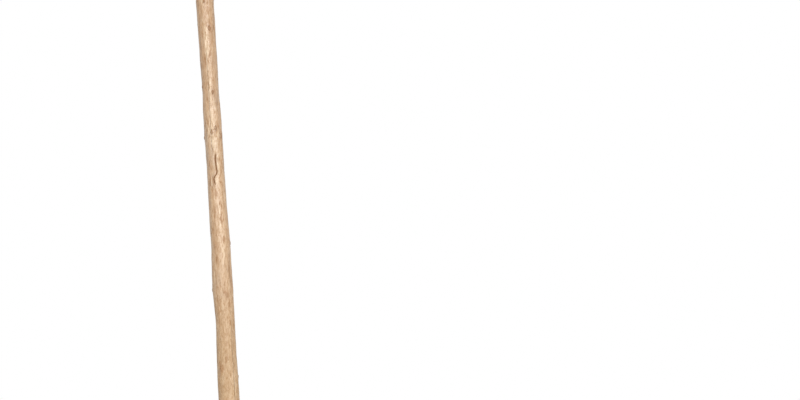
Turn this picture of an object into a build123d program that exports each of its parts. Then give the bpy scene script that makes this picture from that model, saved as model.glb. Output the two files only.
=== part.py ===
from build123d import *
import os
from math import cos, degrees, exp, pi, radians, sin, sqrt, tan

# A wooden street light pole that also carries an overhead line: a debarked
# natural log, four steel hooks with glass pin insulators, and a street lamp on
# a short steel bracket. Millimetres, +Z up, origin at the centre of the log's
# face at ground level. +X is the lamp's side, +Y runs along the line wires.

# Log
LOG_HEIGHT = 9500
LOG_GROUND_DIAMETER = 226
LOG_TOP_DIAMETER = 164
BUTT_FLARE = 9
BUTT_FLARE_REACH = 420
LOG_SWEEP = 30
SPAN_LENGTH = 600
SPAN_STEPS = 5
ROOF_PITCH = 32

# How much fuller or leaner than its even taper the log grew: height, radius
GIRTH_CHANGES = [
    (1250, 3), (2050, -2), (2900, 3), (3800, 1), (4000, -3), (4330, -6), (4660, 4), (5120, -2),
    (5500, -4), (5860, -7), (6240, -3), (6700, -9), (7120, -3), (7600, 2), (8350, -1),
]
# Small crooks of its heart towards the lamp's side: height, offset
CROOKS = [(4330, 7), (5120, 5)]
GROWTH_REACH = 200

# Knots stand in whorls: height, then bearings round the log in degrees
KNOT_WHORLS = [
    (780, (20, 140, 255)),
    (1420, (80, 200, 310)),
    (2080, (-70, 45, 160)),
    (2650, (110, 230, 350)),
    (3160, (-95, 30, 170)),
    (3815, (18, 135, 250)),
    (4610, (-52, 70, 190)),
    (5110, (-110, 10, 125)),
    (5745, (-83, 40, 165)),
    (6235, (-162, -81, -56, -16, 75)),
    (6690, (-59, 100, 215)),
    (7360, (-55, 60, 180)),
    (7650, (-77, 30, 150)),
    (8420, (-100, 45, 130)),
]
KNOT_RADIUS = 34
KNOT_PROUD = 5
KNOT_STEP = 37

# Drying checks: middle height, length, bearing, width, depth
DRYING_CHECKS = [
    (1500, 1900, -100, 8, 34),
    (2700, 1500, 95, 9, 40),
    (4830, 360, -15, 6, 20),
    (6500, 1700, 140, 9, 38),
    (7500, 900, -125, 6, 22),
    (9050, 1100, 62, 7, 30),
]
# The grain winds up the log: degrees for each metre
GRAIN_TURN = 5
# How wide open a check is at shares of its length; it runs out above the surface
CHECK_OPENING = [(-0.5, -0.05), (-0.3, 0.7), (0, 1), (0.3, 0.7), (0.5, -0.05)]
CHECK_OUTSIDE = 6

# One check winds between two knots: height, bearing, share of its width and depth
WINDING_CHECK = [
    (6010, -64, -0.05), (5965, -69, 0.6), (5893, -68, 1), (5830, -63, 1), (5797, -68, 0.9),
    (5776, -81, 0.9), (5752, -88, 1), (5722, -85, 0.8), (5690, -77, -0.05),
]
WINDING_CHECK_WIDTH = 9
WINDING_CHECK_DEPTH = 20

# Hooks, from the top down and on alternate sides
HOOK_NAMES = ("top_right", "upper_left", "lower_right", "bottom_left")
FIRST_HOOK_BELOW_TOP = 450
HOOK_SPACING = 400
HOOK_BAR = 18
HOOK_REACH = 150
HOOK_GRIP = 105
HOOK_BEND_RADIUS = 48
HOOK_SHOULDER_RISE = 92
HOOK_SHOULDER_DIAMETER = 30
HOOK_SHOULDER_HEIGHT = 9
PIN_DIAMETER = 17
PIN_LENGTH = 58
PIN_CHAMFER = 2
HOOK_SHOULDER_CHAMFER = 2

# Plastic sleeves between pin and glass
SLEEVE_WALL = 4
SLEEVE_LIP = 3
SLEEVE_LIP_HEIGHT = 5
SLEEVE_SHOWS = 9

# Glass insulators
INSULATOR_HEIGHT = 104
INSULATOR_DIAMETER = 82
NECK_DIAMETER = 46
CROWN_DIAMETER = 60
SKIRT_EDGE = 5
SKIRT_DRAWN_IN = 3
NECK_FLARE = 3
SHOULDER_SLOPE = (-1, 0.55)
CROWN_SLOPE = (1, 0.35)
CROWN_DROP = 3
CROWN_DROP_AT = 0.72
CORE_WALL = 9
CORE_EDGE = 2
CORE_RECESSED = 5
RECESS_TOP = 36
SHOULDER_LEVEL = 50
NECK_LOW_LEVEL = 57
NECK_HIGH_LEVEL = 70
CROWN_LEVEL = 78
CROWN_EDGE_LEVEL = 90

FIT = 0.3

# Lamp bracket: a plate on a dressed flat of the log, a tube and two ribs
BRACKET_BELOW_TOP = 870
PLATE_WIDTH = 84
PLATE_HEIGHT = 290
PLATE_THICKNESS = 6
PLATE_CORNER = 14
PLATE_HOLE = 14
PLATE_HOLE_SPACING_Y = 50
PLATE_HOLE_SPACING_Z = 240
SEAT_MARGIN = 3
SEAT_RUNOUT = 25
TUBE_DIAMETER = 48
TUBE_WALL = 3
TUBE_LENGTH = 430
ARM_TILT = 15
# Hole in the tube's under side through which the lamp's supply enters
SUPPLY_HOLE = 16
SUPPLY_HOLE_FROM_PLATE = 125
RIB_THICKNESS = 5
RIB_EDGE = 6
RIB_LOWER = (108, 78)
RIB_UPPER = (70, 52)

# Street lamp, in its own frame: x along the tube, z up, zero at its rear wall
SOCKET_DEPTH = 82
SOCKET_NECK = 46
SOCKET_WALL = 7
LAMP_PARTING = -36
LAMP_WALL = 3
# Sections of the housing from its rear wall to its nose: x, half width, top
HOUSING_SECTIONS = [
    (0, 46, 37), (70, 54, 43), (150, 76, 49), (230, 104, 54), (310, 120, 57),
    (380, 121, 55), (440, 106, 47), (490, 75, 30), (518, 37, 3), (525, 16, -16),
]
TOP_RIB_RISE = 4
TOP_RIB_THICKNESS = 5
TOP_RIB_SPACING = 24
TOP_RIB_COUNT = 5
TOP_RIB_SPAN = (30, 400)

# The optic is an oval under the housing's front
OPTIC_MIDDLE = 358
OPTIC_HALF_LENGTH = 168
OPTIC_HALF_WIDTH = 122
GASKET_THICKNESS = 3
GASKET_WIDTH = 12
FRAME_HEIGHT = 11
FRAME_INSET = 3
FRAME_BAND = 17
BOWL_DEPTH = 76
BOWL_WALL = 2.5
BOWL_FLANGE = 7
BOWL_FLANGE_THICKNESS = 3
# A dome rises through this many steps to a flat top, as a share of a full egg's height
DOME_STEPS = 5
DOME_TOP = 0.93
REFLECTOR_HEIGHT = 58
REFLECTOR_WALL = 1.5
REFLECTOR_INSET = 5
REFLECTOR_FLANGE = 9
HOLDER_GAP = 3

# Gear opening and its cover, under the housing's rear
GEAR_OPENING = (22, 150)
GEAR_OPENING_WIDTH = 72
GEAR_OPENING_CORNER = 8
COVER_DEPTH = 22
COVER_WALL = 2.5
COVER_INSET = 3
COVER_TAPER = 14
COVER_REAR = 8
COVER_GAP = 3

# Lamp holder and bulb lie along the lamp
LAMP_AXIS_ABOVE_FLOOR = 22
HOLDER_DIAMETER = 40
HOLDER_LENGTH = 62
HOLDER_REAR = 158
HOLDER_SOCKET_DIAMETER = 27
HOLDER_SOCKET_DEPTH = 34
HOLDER_FOOT = (44, 30)
HOLDER_CHAMFER = 2
BULB_DIAMETER = 42
BULB_LENGTH = 150
BULB_NECK_DIAMETER = 25
BULB_CAP_LENGTH = 32
BULB_CAP_DIAMETER = 26
BULB_CAP_TIP_DIAMETER = 16
BULB_CAP_TIP_LENGTH = 4

# Latch at the nose
LATCH_WIDTH = 22
LATCH_THICKNESS = 2.5
LATCH_HOOK = 8
LATCH_RISE = 15

BEYOND = 20


def grown(changes, height):
    """Sum of the log's local changes at a height, each fading out above and below."""
    return sum(
        change * exp(-(((height - level) / GROWTH_REACH) ** 2)) for level, change in changes
    )


def log_radius(height):
    """Radius of the log at a height, with its taper, butt flare and swellings."""
    share = height / LOG_HEIGHT
    taper = LOG_GROUND_DIAMETER / 2 * (1 - share) + LOG_TOP_DIAMETER / 2 * share
    flare = BUTT_FLARE * exp(-height / BUTT_FLARE_REACH)
    return taper + flare + grown(GIRTH_CHANGES, height)


def log_centre(height):
    """Sideways place of the log's heart, which bows gently towards the lamp."""
    share = height / LOG_HEIGHT
    return 4 * LOG_SWEEP * share * (1 - share) + grown(CROOKS, height)


def round_the_log(height, bearing, radius):
    """A point at a bearing and distance from the log's heart."""
    angle = radians(bearing)
    return (
        log_centre(height) + radius * cos(angle),
        radius * sin(angle),
        height,
    )


def natural_log():
    """The log from the ground to its ridge, lofted in spans short enough to stay true."""
    spans = max(1, round(LOG_HEIGHT / SPAN_LENGTH))
    step = LOG_HEIGHT / spans / SPAN_STEPS
    lofts = []
    for span in range(spans):
        levels = [step * (span * SPAN_STEPS + place) for place in range(SPAN_STEPS + 1)]
        lofts.append(loft([
            Pos(log_centre(level), 0, level) * Circle(log_radius(level)) for level in levels
        ]))
    return lofts[0] + lofts[1:]


def roof_cut(side):
    """What the saw takes off one side of the log's head."""
    size = 2 * LOG_TOP_DIAMETER
    block = Pos(side * size / 2, 0, size / 2) * Box(size, size, size)
    return Pos(0, 0, LOG_HEIGHT) * Rot(0, side * ROOF_PITCH, 0) * block


def knots():
    """Branch collars that stand a little proud, whorl by whorl."""
    caps = []
    for height, bearings in KNOT_WHORLS:
        for place, bearing in enumerate(bearings):
            level = height + KNOT_STEP * (place % 3 - 1)
            if level < LOG_HEIGHT - FIRST_HOOK_BELOW_TOP:
                heart = log_radius(level) - KNOT_RADIUS + KNOT_PROUD
                caps.append(
                    Pos(*round_the_log(level, bearing, heart))
                    * Rot(0, 0, bearing + degrees(pi))
                    * Sphere(KNOT_RADIUS)
                )
    return caps


def v_section(height, bearing, opening, width, depth):
    """A V across the log's surface; below zero, the opening lies outside the log."""
    surface = log_radius(height)
    half_turn = degrees(width / 2 * (1 + CHECK_OUTSIDE / depth) / surface)
    corners = (
        round_the_log(height, bearing, surface - opening * depth),
        round_the_log(height, bearing - half_turn, surface + CHECK_OUTSIDE),
        round_the_log(height, bearing + half_turn, surface + CHECK_OUTSIDE),
    )
    return make_face(Polyline(*corners, close=True))


def drying_check(middle, length, bearing, width, depth):
    """A V groove that follows the grain and runs out at both ends."""
    sections = []
    for share, opening in CHECK_OPENING:
        rise = share * length
        heading = bearing + GRAIN_TURN * rise / 1000
        sections.append(v_section(middle + rise, heading, opening, width, depth))
    return loft(sections, ruled=True)


def winding_check():
    """A V groove that leaves the grain and winds round a knot."""
    return loft([
        v_section(height, bearing, opening, WINDING_CHECK_WIDTH, WINDING_CHECK_DEPTH)
        for height, bearing, opening in WINDING_CHECK
    ], ruled=True)


def hook_level(order):
    return LOG_HEIGHT - FIRST_HOOK_BELOW_TOP - order * HOOK_SPACING


def at_hook(order):
    """Where a hook enters the log: right and left by turns, facing outwards."""
    level = hook_level(order)
    turn = degrees(pi) * (order % 2)
    surface = round_the_log(level, turn, log_radius(level))
    return Pos(*surface) * Rot(0, 0, turn)


def hook_hole():
    length = HOOK_GRIP + FIT + BEYOND
    bore = Cylinder(HOOK_BAR / 2 + FIT, length, rotation=(0, 90, 0))
    return Pos(BEYOND - length / 2, 0, 0) * bore


def bracket_level():
    return LOG_HEIGHT - BRACKET_BELOW_TOP


def seat_plane():
    """X of the flat that is dressed on the log for the bracket's plate."""
    half_height = PLATE_HEIGHT / 2 + SEAT_RUNOUT
    ends = (bracket_level() - half_height, bracket_level() + half_height)
    half_width = PLATE_WIDTH / 2 + SEAT_MARGIN
    return min(log_centre(end) + sqrt(log_radius(end) ** 2 - half_width**2) for end in ends)


def seat_cut():
    size = LOG_GROUND_DIAMETER
    height = PLATE_HEIGHT + 2 * SEAT_RUNOUT
    return Pos(seat_plane() + size / 2, 0, bracket_level()) * Box(size, size, height)


def pole_log():
    log = natural_log() + knots()
    for side in (1, -1):
        log -= roof_cut(side)
    log -= seat_cut()
    for order in range(len(HOOK_NAMES)):
        log -= at_hook(order) * hook_hole()
    for check in DRYING_CHECKS:
        log -= drying_check(*check)
    return log - winding_check()


def shoulder_top():
    return HOOK_SHOULDER_RISE + HOOK_SHOULDER_HEIGHT


def hook():
    """A bar bent up from the log, with a shoulder and a pin for the insulator."""
    path = FilletPolyline(
        (-HOOK_GRIP, 0, 0),
        (HOOK_REACH, 0, 0),
        (HOOK_REACH, 0, HOOK_SHOULDER_RISE + HOOK_SHOULDER_HEIGHT / 2),
        radius=HOOK_BEND_RADIUS,
    )
    bar = sweep(Plane(path @ 0, z_dir=path % 0) * Circle(HOOK_BAR / 2), path)
    shoulder = Cylinder(
        HOOK_SHOULDER_DIAMETER / 2, HOOK_SHOULDER_HEIGHT, align=(Align.CENTER, Align.CENTER, Align.MIN)
    )
    shoulder = chamfer(shoulder.edges().filter_by(GeomType.CIRCLE), HOOK_SHOULDER_CHAMFER)
    pin = Cylinder(PIN_DIAMETER / 2, PIN_LENGTH, align=(Align.CENTER, Align.CENTER, Align.MIN))
    pin = chamfer(pin.edges().group_by(Axis.Z)[-1], PIN_CHAMFER)
    return (
        bar
        + Pos(HOOK_REACH, 0, HOOK_SHOULDER_RISE) * shoulder
        + Pos(HOOK_REACH, 0, shoulder_top()) * pin
    )


def sleeve_radius():
    return PIN_DIAMETER / 2 + FIT + SLEEVE_WALL


def sleeve_height():
    return PIN_LENGTH + FIT + SLEEVE_WALL


def sleeve():
    """A plastic cap over the pin, with a lip that rests on the hook's shoulder."""
    inner = PIN_DIAMETER / 2 + FIT
    outer = sleeve_radius()
    height = sleeve_height()
    outline = Polyline(
        (inner, 0),
        (outer + SLEEVE_LIP, 0),
        (outer + SLEEVE_LIP, SLEEVE_LIP_HEIGHT),
        (outer, SLEEVE_LIP_HEIGHT),
        (outer, height),
        (0, height),
        (0, height - SLEEVE_WALL),
        (inner, height - SLEEVE_WALL),
        close=True,
    )
    cap = revolve(Plane.XZ * make_face(outline), Axis.Z)
    return Pos(HOOK_REACH, 0, shoulder_top()) * cap


def insulator():
    """A pressed glass insulator: crown, wire neck, skirt and inner core."""
    skirt = INSULATOR_DIAMETER / 2
    neck = NECK_DIAMETER / 2
    crown = CROWN_DIAMETER / 2
    hole = sleeve_radius() + FIT
    core = hole + CORE_WALL
    hole_top = CORE_RECESSED + sleeve_height() - SLEEVE_SHOWS
    outside = (
        Line((skirt - 2 * SKIRT_EDGE, 0), (skirt - SKIRT_EDGE, 0))
        + ThreePointArc(
            (skirt - SKIRT_EDGE, 0),
            (skirt - SKIRT_EDGE * (1 - sin(pi / 4)), SKIRT_EDGE * (1 - cos(pi / 4))),
            (skirt, SKIRT_EDGE),
        )
        + Spline(
            (skirt, SKIRT_EDGE),
            (skirt - SKIRT_DRAWN_IN, SHOULDER_LEVEL / 2),
            (neck + NECK_FLARE, SHOULDER_LEVEL),
            tangents=[(0, 1), SHOULDER_SLOPE],
        )
        + Spline(
            (neck + NECK_FLARE, SHOULDER_LEVEL),
            (neck, NECK_LOW_LEVEL),
            (neck, NECK_HIGH_LEVEL),
            (crown, CROWN_LEVEL),
            tangents=[SHOULDER_SLOPE, CROWN_SLOPE],
        )
        + Line((crown, CROWN_LEVEL), (crown, CROWN_EDGE_LEVEL))
        + Spline(
            (crown, CROWN_EDGE_LEVEL),
            (crown * CROWN_DROP_AT, INSULATOR_HEIGHT - CROWN_DROP),
            (0, INSULATOR_HEIGHT),
            tangents=[(0, 1), (-1, 0)],
        )
    )
    inside = Polyline(
        (0, INSULATOR_HEIGHT),
        (0, hole_top),
        (hole, hole_top),
        (hole, CORE_RECESSED),
        (core - CORE_EDGE, CORE_RECESSED),
        (core, CORE_RECESSED + 2 * CORE_EDGE),
        (core, RECESS_TOP - CORE_EDGE),
        (core + CORE_EDGE, RECESS_TOP),
        (core + 2 * CORE_EDGE, RECESS_TOP),
        (skirt - 2 * SKIRT_EDGE, 0),
    )
    glass = revolve(Plane.XZ * make_face(outside + inside), Axis.Z)
    lift = shoulder_top() + sleeve_height() - hole_top
    return Pos(HOOK_REACH, 0, lift) * glass


def plate_face():
    return seat_plane() + PLATE_THICKNESS


def bracket_plate():
    blank = RectangleRounded(PLATE_WIDTH, PLATE_HEIGHT, PLATE_CORNER)
    holes = GridLocations(PLATE_HOLE_SPACING_Y, PLATE_HOLE_SPACING_Z, 2, 2) * Circle(PLATE_HOLE / 2)
    plate = extrude(Plane.YZ * (blank - holes), PLATE_THICKNESS)
    return Pos(seat_plane(), 0, bracket_level()) * plate


def along_the_arm(distance):
    """A frame on the tube's axis, x outwards, measured from the plate's face."""
    return Pos(plate_face(), 0, bracket_level()) * Rot(0, -ARM_TILT, 0) * Pos(distance, 0, 0)


def outside_plate():
    size = 2 * TUBE_LENGTH
    return Pos(plate_face() + size / 2, 0, bracket_level()) * Box(size, size, size)


def bracket_tube():
    """A straight tube whose lower end is cut to lie flat on the plate."""
    run = TUBE_LENGTH + TUBE_DIAMETER
    blank = Cylinder(TUBE_DIAMETER / 2, run, rotation=(0, 90, 0))
    blank -= Cylinder(TUBE_DIAMETER / 2 - TUBE_WALL, run + BEYOND, rotation=(0, 90, 0))
    tube = along_the_arm(TUBE_LENGTH - run / 2) * blank & outside_plate()
    drill = Cylinder(
        SUPPLY_HOLE / 2, TUBE_DIAMETER, align=(Align.CENTER, Align.CENTER, Align.MAX)
    )
    return tube - along_the_arm(SUPPLY_HOLE_FROM_PLATE) * drill


def bracket_rib(height, reach, side):
    """A triangular rib between plate and tube, below (-1) or above (1) it."""
    level = bracket_level()
    face = plate_face()
    top_of_rib = side * TUBE_DIAMETER / 2 / cos(radians(ARM_TILT))
    edge = side * RIB_EDGE
    outline = Polyline(
        (face, 0, level),
        (face, 0, level + top_of_rib + side * height),
        (face + RIB_EDGE, 0, level + top_of_rib + side * height),
        (face + reach, 0, level + top_of_rib + edge + reach * sin(radians(ARM_TILT))),
        (face + reach, 0, level + reach * sin(radians(ARM_TILT))),
        close=True,
    )
    rib = extrude(make_face(outline), RIB_THICKNESS / 2, dir=(0, 1, 0), both=True)
    tube_space = Cylinder(TUBE_DIAMETER / 2, 4 * TUBE_LENGTH, rotation=(0, 90, 0))
    return rib - along_the_arm(0) * tube_space


def at_lamp():
    """The lamp's own frame, with its rear wall short of the tube's end."""
    return along_the_arm(TUBE_LENGTH - SOCKET_DEPTH)


def lamp_room():
    """Size of a block that is larger than the whole lamp."""
    return 2 * HOUSING_SECTIONS[-1][0]


def half_before(x):
    """All of the lamp's space that lies behind a place along it."""
    room = lamp_room()
    return Pos(x - room / 2, 0, 0) * Box(room, room, room)


def housing_form(grow, floor):
    """The housing's domed form, flat at its floor, larger by grow all round."""
    sections = []
    ends = (HOUSING_SECTIONS[0][0], HOUSING_SECTIONS[-1][0])
    for x, half_width, top in HOUSING_SECTIONS:
        width = half_width + grow
        rise = top + grow - floor
        dome = EllipticalCenterArc((0, 0), width, rise, start_angle=0, arc_size=degrees(pi))
        outline = make_face(dome + Line((-width, 0), (width, 0)))
        inside = min(max(x, ends[0] - min(grow, 0)), ends[1] + min(grow, 0))
        place = Plane(origin=(inside, 0, floor), x_dir=(0, 1, 0), z_dir=(1, 0, 0))
        sections.append(place * outline)
    return loft(sections)


def side_of_plan(inset):
    """One side of the housing's plan, moved inwards by an inset."""
    points = [(x, half_width - inset) for x, half_width, top in HOUSING_SECTIONS]
    points[0] = (points[0][0] + inset, points[0][1])
    points[-1] = (points[-1][0] - inset, points[-1][1])
    return points


def footprint(inset):
    """The housing's outline at the parting plane, seen from above."""
    right = side_of_plan(inset)
    left = [(x, -y) for x, y in right]
    outline = (
        Spline(*right) + Line(right[-1], left[-1]) + Spline(*left) + Line(left[0], right[0])
    )
    return make_face(outline)


def optic_oval(grow, height, level):
    """An oval block under the lamp's front, from a level upwards."""
    oval = Ellipse(OPTIC_HALF_LENGTH + grow, OPTIC_HALF_WIDTH + grow)
    return Pos(OPTIC_MIDDLE, 0, level) * extrude(oval, height)


def optic_dome(grow, height, level, side):
    """A flat-topped dome over (1) or under (-1) a level, as wide as the oval there."""
    rings = []
    for step in range(DOME_STEPS + 1):
        rise = step / DOME_STEPS * DOME_TOP
        share = sqrt(1 - rise**2)
        oval = Ellipse(
            (OPTIC_HALF_LENGTH + grow) * share, (OPTIC_HALF_WIDTH + grow) * share
        )
        rings.append(Pos(OPTIC_MIDDLE, 0, level + side * height * rise / DOME_TOP) * oval)
    return loft(rings)


def opening_grow():
    """How much the lamp's opening is larger than the optic's oval."""
    return -FRAME_INSET - FRAME_BAND


def floor_top():
    return LAMP_PARTING + LAMP_WALL


def lamp_axis():
    return floor_top() + LAMP_AXIS_ABOVE_FLOOR


def seal_level():
    """Under side of the gasket, where the bowl's flange begins."""
    return LAMP_PARTING - GASKET_THICKNESS


def from_rear(start, length, radius):
    """A cylinder along the lamp that starts at a distance from its rear wall."""
    return Pos(start + length / 2, 0, 0) * Cylinder(radius, length, rotation=(0, 90, 0))


def gear_opening():
    length = GEAR_OPENING[1] - GEAR_OPENING[0]
    outline = RectangleRounded(length, GEAR_OPENING_WIDTH, GEAR_OPENING_CORNER)
    middle = sum(GEAR_OPENING) / 2
    return Pos(middle, 0, LAMP_PARTING - BEYOND) * extrude(outline, LAMP_WALL + 2 * BEYOND)


def top_ribs():
    """Low cooling ribs along the housing's back, as slices of a slightly larger form."""
    start, end = TOP_RIB_SPAN
    slab = Box(
        end - start, TOP_RIB_THICKNESS, lamp_room(), align=(Align.MIN, Align.CENTER, Align.MIN)
    )
    places = GridLocations(0, TOP_RIB_SPACING, 1, TOP_RIB_COUNT)
    slabs = Part() + Pos(start, 0, 0) * places * slab
    return housing_form(TOP_RIB_RISE, LAMP_PARTING) & slabs


def lamp_housing():
    """A cast shell with a neck for the tube, cooling ribs and two openings below."""
    shell = housing_form(0, LAMP_PARTING) + top_ribs()
    shell -= housing_form(-LAMP_WALL, floor_top())
    neck_radius = TUBE_DIAMETER / 2 + SOCKET_WALL
    neck = from_rear(-SOCKET_NECK, SOCKET_NECK + SOCKET_DEPTH, neck_radius)
    shell += chamfer(neck.edges().group_by(Axis.X)[0], SOCKET_WALL / 2)
    shell -= from_rear(
        -SOCKET_NECK - BEYOND, SOCKET_NECK + SOCKET_DEPTH + 2 * BEYOND, TUBE_DIAMETER / 2 + FIT
    )
    shell -= optic_oval(opening_grow(), BEYOND + LAMP_WALL, LAMP_PARTING - BEYOND)
    return shell - gear_opening()


def cover_form(inset, depth, level):
    """A block under the housing's rear with drafted sides and a hollow front."""
    rim = COVER_INSET + inset
    draft = depth * tan(radians(COVER_TAPER))
    block = loft([
        Pos(0, 0, level) * footprint(rim),
        Pos(0, 0, level - depth) * footprint(rim + draft),
    ], ruled=True)
    block = block & half_before(OPTIC_MIDDLE - OPTIC_HALF_LENGTH / 2)
    block -= half_before(COVER_REAR + inset)
    return block - optic_oval(COVER_GAP + inset, 4 * depth, level - 2 * depth)


def gear_cover():
    outer = cover_form(0, COVER_DEPTH, LAMP_PARTING)
    inner = cover_form(COVER_WALL, COVER_DEPTH - COVER_WALL, LAMP_PARTING)
    return outer - inner


def gasket():
    grow = -FRAME_INSET - FRAME_BAND + GASKET_WIDTH
    ring = optic_oval(grow, GASKET_THICKNESS, seal_level())
    return ring - optic_oval(opening_grow(), BEYOND, seal_level() - BEYOND / 2)


def bowl_frame():
    """An oval ring with a rebate that holds the bowl's flange up to the gasket."""
    ring = optic_oval(-FRAME_INSET, FRAME_HEIGHT, LAMP_PARTING - FRAME_HEIGHT)
    ring -= optic_oval(opening_grow(), 4 * FRAME_HEIGHT, LAMP_PARTING - 3 * FRAME_HEIGHT)
    rebate_grow = opening_grow() + GASKET_WIDTH + FIT
    rebate_depth = GASKET_THICKNESS + BOWL_FLANGE_THICKNESS
    return ring - optic_oval(rebate_grow, rebate_depth + BEYOND, LAMP_PARTING - rebate_depth)


def bowl():
    """A deep clear bowl with a flange round its rim."""
    rim = opening_grow() - FIT
    flange_grow = rim + BOWL_FLANGE
    base = seal_level() - BOWL_FLANGE_THICKNESS
    clear = optic_oval(flange_grow, BOWL_FLANGE_THICKNESS, base)
    clear += optic_dome(rim, BOWL_DEPTH, base, -1)
    clear -= optic_oval(rim - BOWL_WALL, BEYOND, base)
    return clear - optic_dome(rim - BOWL_WALL, BOWL_DEPTH - BOWL_WALL, base, -1)


def reflector():
    """A bright dome over the opening, seated on the housing's floor."""
    rim = opening_grow() - REFLECTOR_INSET
    base = floor_top()
    dome = optic_dome(rim, REFLECTOR_HEIGHT, base, 1)
    dome -= optic_dome(rim - REFLECTOR_WALL, REFLECTOR_HEIGHT - REFLECTOR_WALL, base, 1)
    flange = optic_oval(rim + REFLECTOR_FLANGE, REFLECTOR_WALL, base)
    flange -= optic_oval(rim - REFLECTOR_WALL / 2, 2 * BEYOND, base - BEYOND)
    hole_radius = HOLDER_DIAMETER / 2 + HOLDER_GAP
    hole = from_rear(0, OPTIC_MIDDLE - OPTIC_HALF_LENGTH / 2, hole_radius)
    return dome + flange - Pos(0, 0, lamp_axis()) * hole


def holder_front():
    return HOLDER_REAR + HOLDER_LENGTH


def lamp_holder():
    """A porcelain socket on a foot that stands on the housing's floor."""
    barrel = from_rear(HOLDER_REAR, HOLDER_LENGTH, HOLDER_DIAMETER / 2)
    barrel = chamfer(barrel.edges().filter_by(GeomType.CIRCLE), HOLDER_CHAMFER)
    foot = Box(*HOLDER_FOOT, LAMP_AXIS_ABOVE_FLOOR, align=(Align.MIN, Align.CENTER, Align.MAX))
    barrel += Pos(HOLDER_REAR, 0, 0) * foot
    barrel -= from_rear(
        holder_front() - HOLDER_SOCKET_DEPTH,
        HOLDER_SOCKET_DEPTH + BEYOND,
        HOLDER_SOCKET_DIAMETER / 2,
    )
    return Pos(0, 0, lamp_axis()) * barrel


def bulb():
    """A long bulb, revolved from its cap, neck, tube and rounded end."""
    cap = BULB_CAP_DIAMETER / 2
    tip = BULB_CAP_TIP_DIAMETER / 2
    neck = BULB_NECK_DIAMETER / 2
    tube = BULB_DIAMETER / 2
    shoulder = BULB_CAP_LENGTH + tube
    end = BULB_CAP_LENGTH + BULB_LENGTH
    side = (
        Polyline(
            (0, 0),
            (tip, 0),
            (cap, BULB_CAP_TIP_LENGTH),
            (cap, BULB_CAP_LENGTH),
            (neck, BULB_CAP_LENGTH),
        )
        + Spline(
            (neck, BULB_CAP_LENGTH),
            ((neck + tube) / 2, (BULB_CAP_LENGTH + shoulder) / 2),
            (tube, shoulder),
            tangents=[(0, 1), (0, 1)],
        )
        + Line((tube, shoulder), (tube, end - tube))
        + ThreePointArc(
            (tube, end - tube),
            (tube * sin(pi / 4), end - tube + tube * cos(pi / 4)),
            (0, end),
        )
        + Line((0, end), (0, 0))
    )
    glass = revolve(Plane.XZ * make_face(side), Axis.Z)
    start = holder_front() - HOLDER_SOCKET_DEPTH + FIT
    return Pos(start, 0, lamp_axis()) * Rot(0, 90, 0) * glass


def latch():
    """A strip on the housing's nose that hooks under the bowl's frame."""
    nose = HOUSING_SECTIONS[-1][0]
    frame_edge = OPTIC_MIDDLE + OPTIC_HALF_LENGTH - FRAME_INSET
    under = LAMP_PARTING - FRAME_HEIGHT
    outline = Polyline(
        (nose, 0, LAMP_PARTING + LATCH_RISE),
        (nose + LATCH_THICKNESS, 0, LAMP_PARTING + LATCH_RISE),
        (nose + LATCH_THICKNESS, 0, under - LATCH_THICKNESS),
        (frame_edge - LATCH_HOOK, 0, under - LATCH_THICKNESS),
        (frame_edge - LATCH_HOOK, 0, under),
        (nose, 0, under),
        close=True,
    )
    return extrude(make_face(outline), LATCH_WIDTH / 2, dir=(0, 1, 0), both=True)


def build():
    """Every node of the pole by name, each solid in its place."""
    nodes = {
        "pole_log": pole_log(),
        "bracket_plate": bracket_plate(),
        "bracket_tube": bracket_tube(),
        "bracket_lower_rib": bracket_rib(*RIB_LOWER, -1),
        "bracket_upper_rib": bracket_rib(*RIB_UPPER, 1),
    }
    for order, name in enumerate(HOOK_NAMES):
        for kind, solid in (("hook", hook()), ("sleeve", sleeve()), ("insulator", insulator())):
            nodes[f"{kind}_{name}"] = at_hook(order) * solid
    lamp = {
        "lamp_housing": lamp_housing(),
        "lamp_gear_cover": gear_cover(),
        "lamp_gasket": gasket(),
        "lamp_bowl_frame": bowl_frame(),
        "lamp_bowl": bowl(),
        "lamp_reflector": reflector(),
        "lamp_holder": lamp_holder(),
        "lamp_bulb": bulb(),
        "lamp_latch": latch(),
    }
    for name, solid in lamp.items():
        nodes[name] = at_lamp() * solid
    return nodes


os.makedirs("parts", exist_ok=True)
for node, solid in build().items():
    export_step(solid, f"parts/{node}.step")
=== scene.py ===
"""Dresses a wooden street light pole and sets up its stage.

The log is built again as a fine mesh with fibres, knots and drying checks. The hooks,
insulators, bracket and lamp keep their solids and get their finishes, bolts, welds and screws.
"""
import random
from math import asin, cos, pi, radians, sin
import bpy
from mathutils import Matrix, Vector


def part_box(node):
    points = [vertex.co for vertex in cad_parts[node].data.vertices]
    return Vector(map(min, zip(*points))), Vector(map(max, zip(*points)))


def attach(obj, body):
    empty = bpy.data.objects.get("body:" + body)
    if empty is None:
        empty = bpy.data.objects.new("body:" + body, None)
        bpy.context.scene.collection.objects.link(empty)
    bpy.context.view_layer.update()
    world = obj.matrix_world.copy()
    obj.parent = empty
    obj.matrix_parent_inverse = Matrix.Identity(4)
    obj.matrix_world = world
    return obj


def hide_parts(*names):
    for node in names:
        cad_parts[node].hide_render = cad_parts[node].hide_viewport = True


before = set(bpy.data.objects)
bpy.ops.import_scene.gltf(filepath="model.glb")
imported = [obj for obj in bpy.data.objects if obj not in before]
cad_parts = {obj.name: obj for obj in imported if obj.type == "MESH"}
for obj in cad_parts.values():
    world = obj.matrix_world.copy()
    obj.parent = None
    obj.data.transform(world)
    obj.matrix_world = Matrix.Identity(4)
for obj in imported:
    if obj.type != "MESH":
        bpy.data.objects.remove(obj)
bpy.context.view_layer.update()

from types import SimpleNamespace

import bmesh
import bpy
import numpy as np
from mathutils import Matrix, Vector, noise

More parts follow.
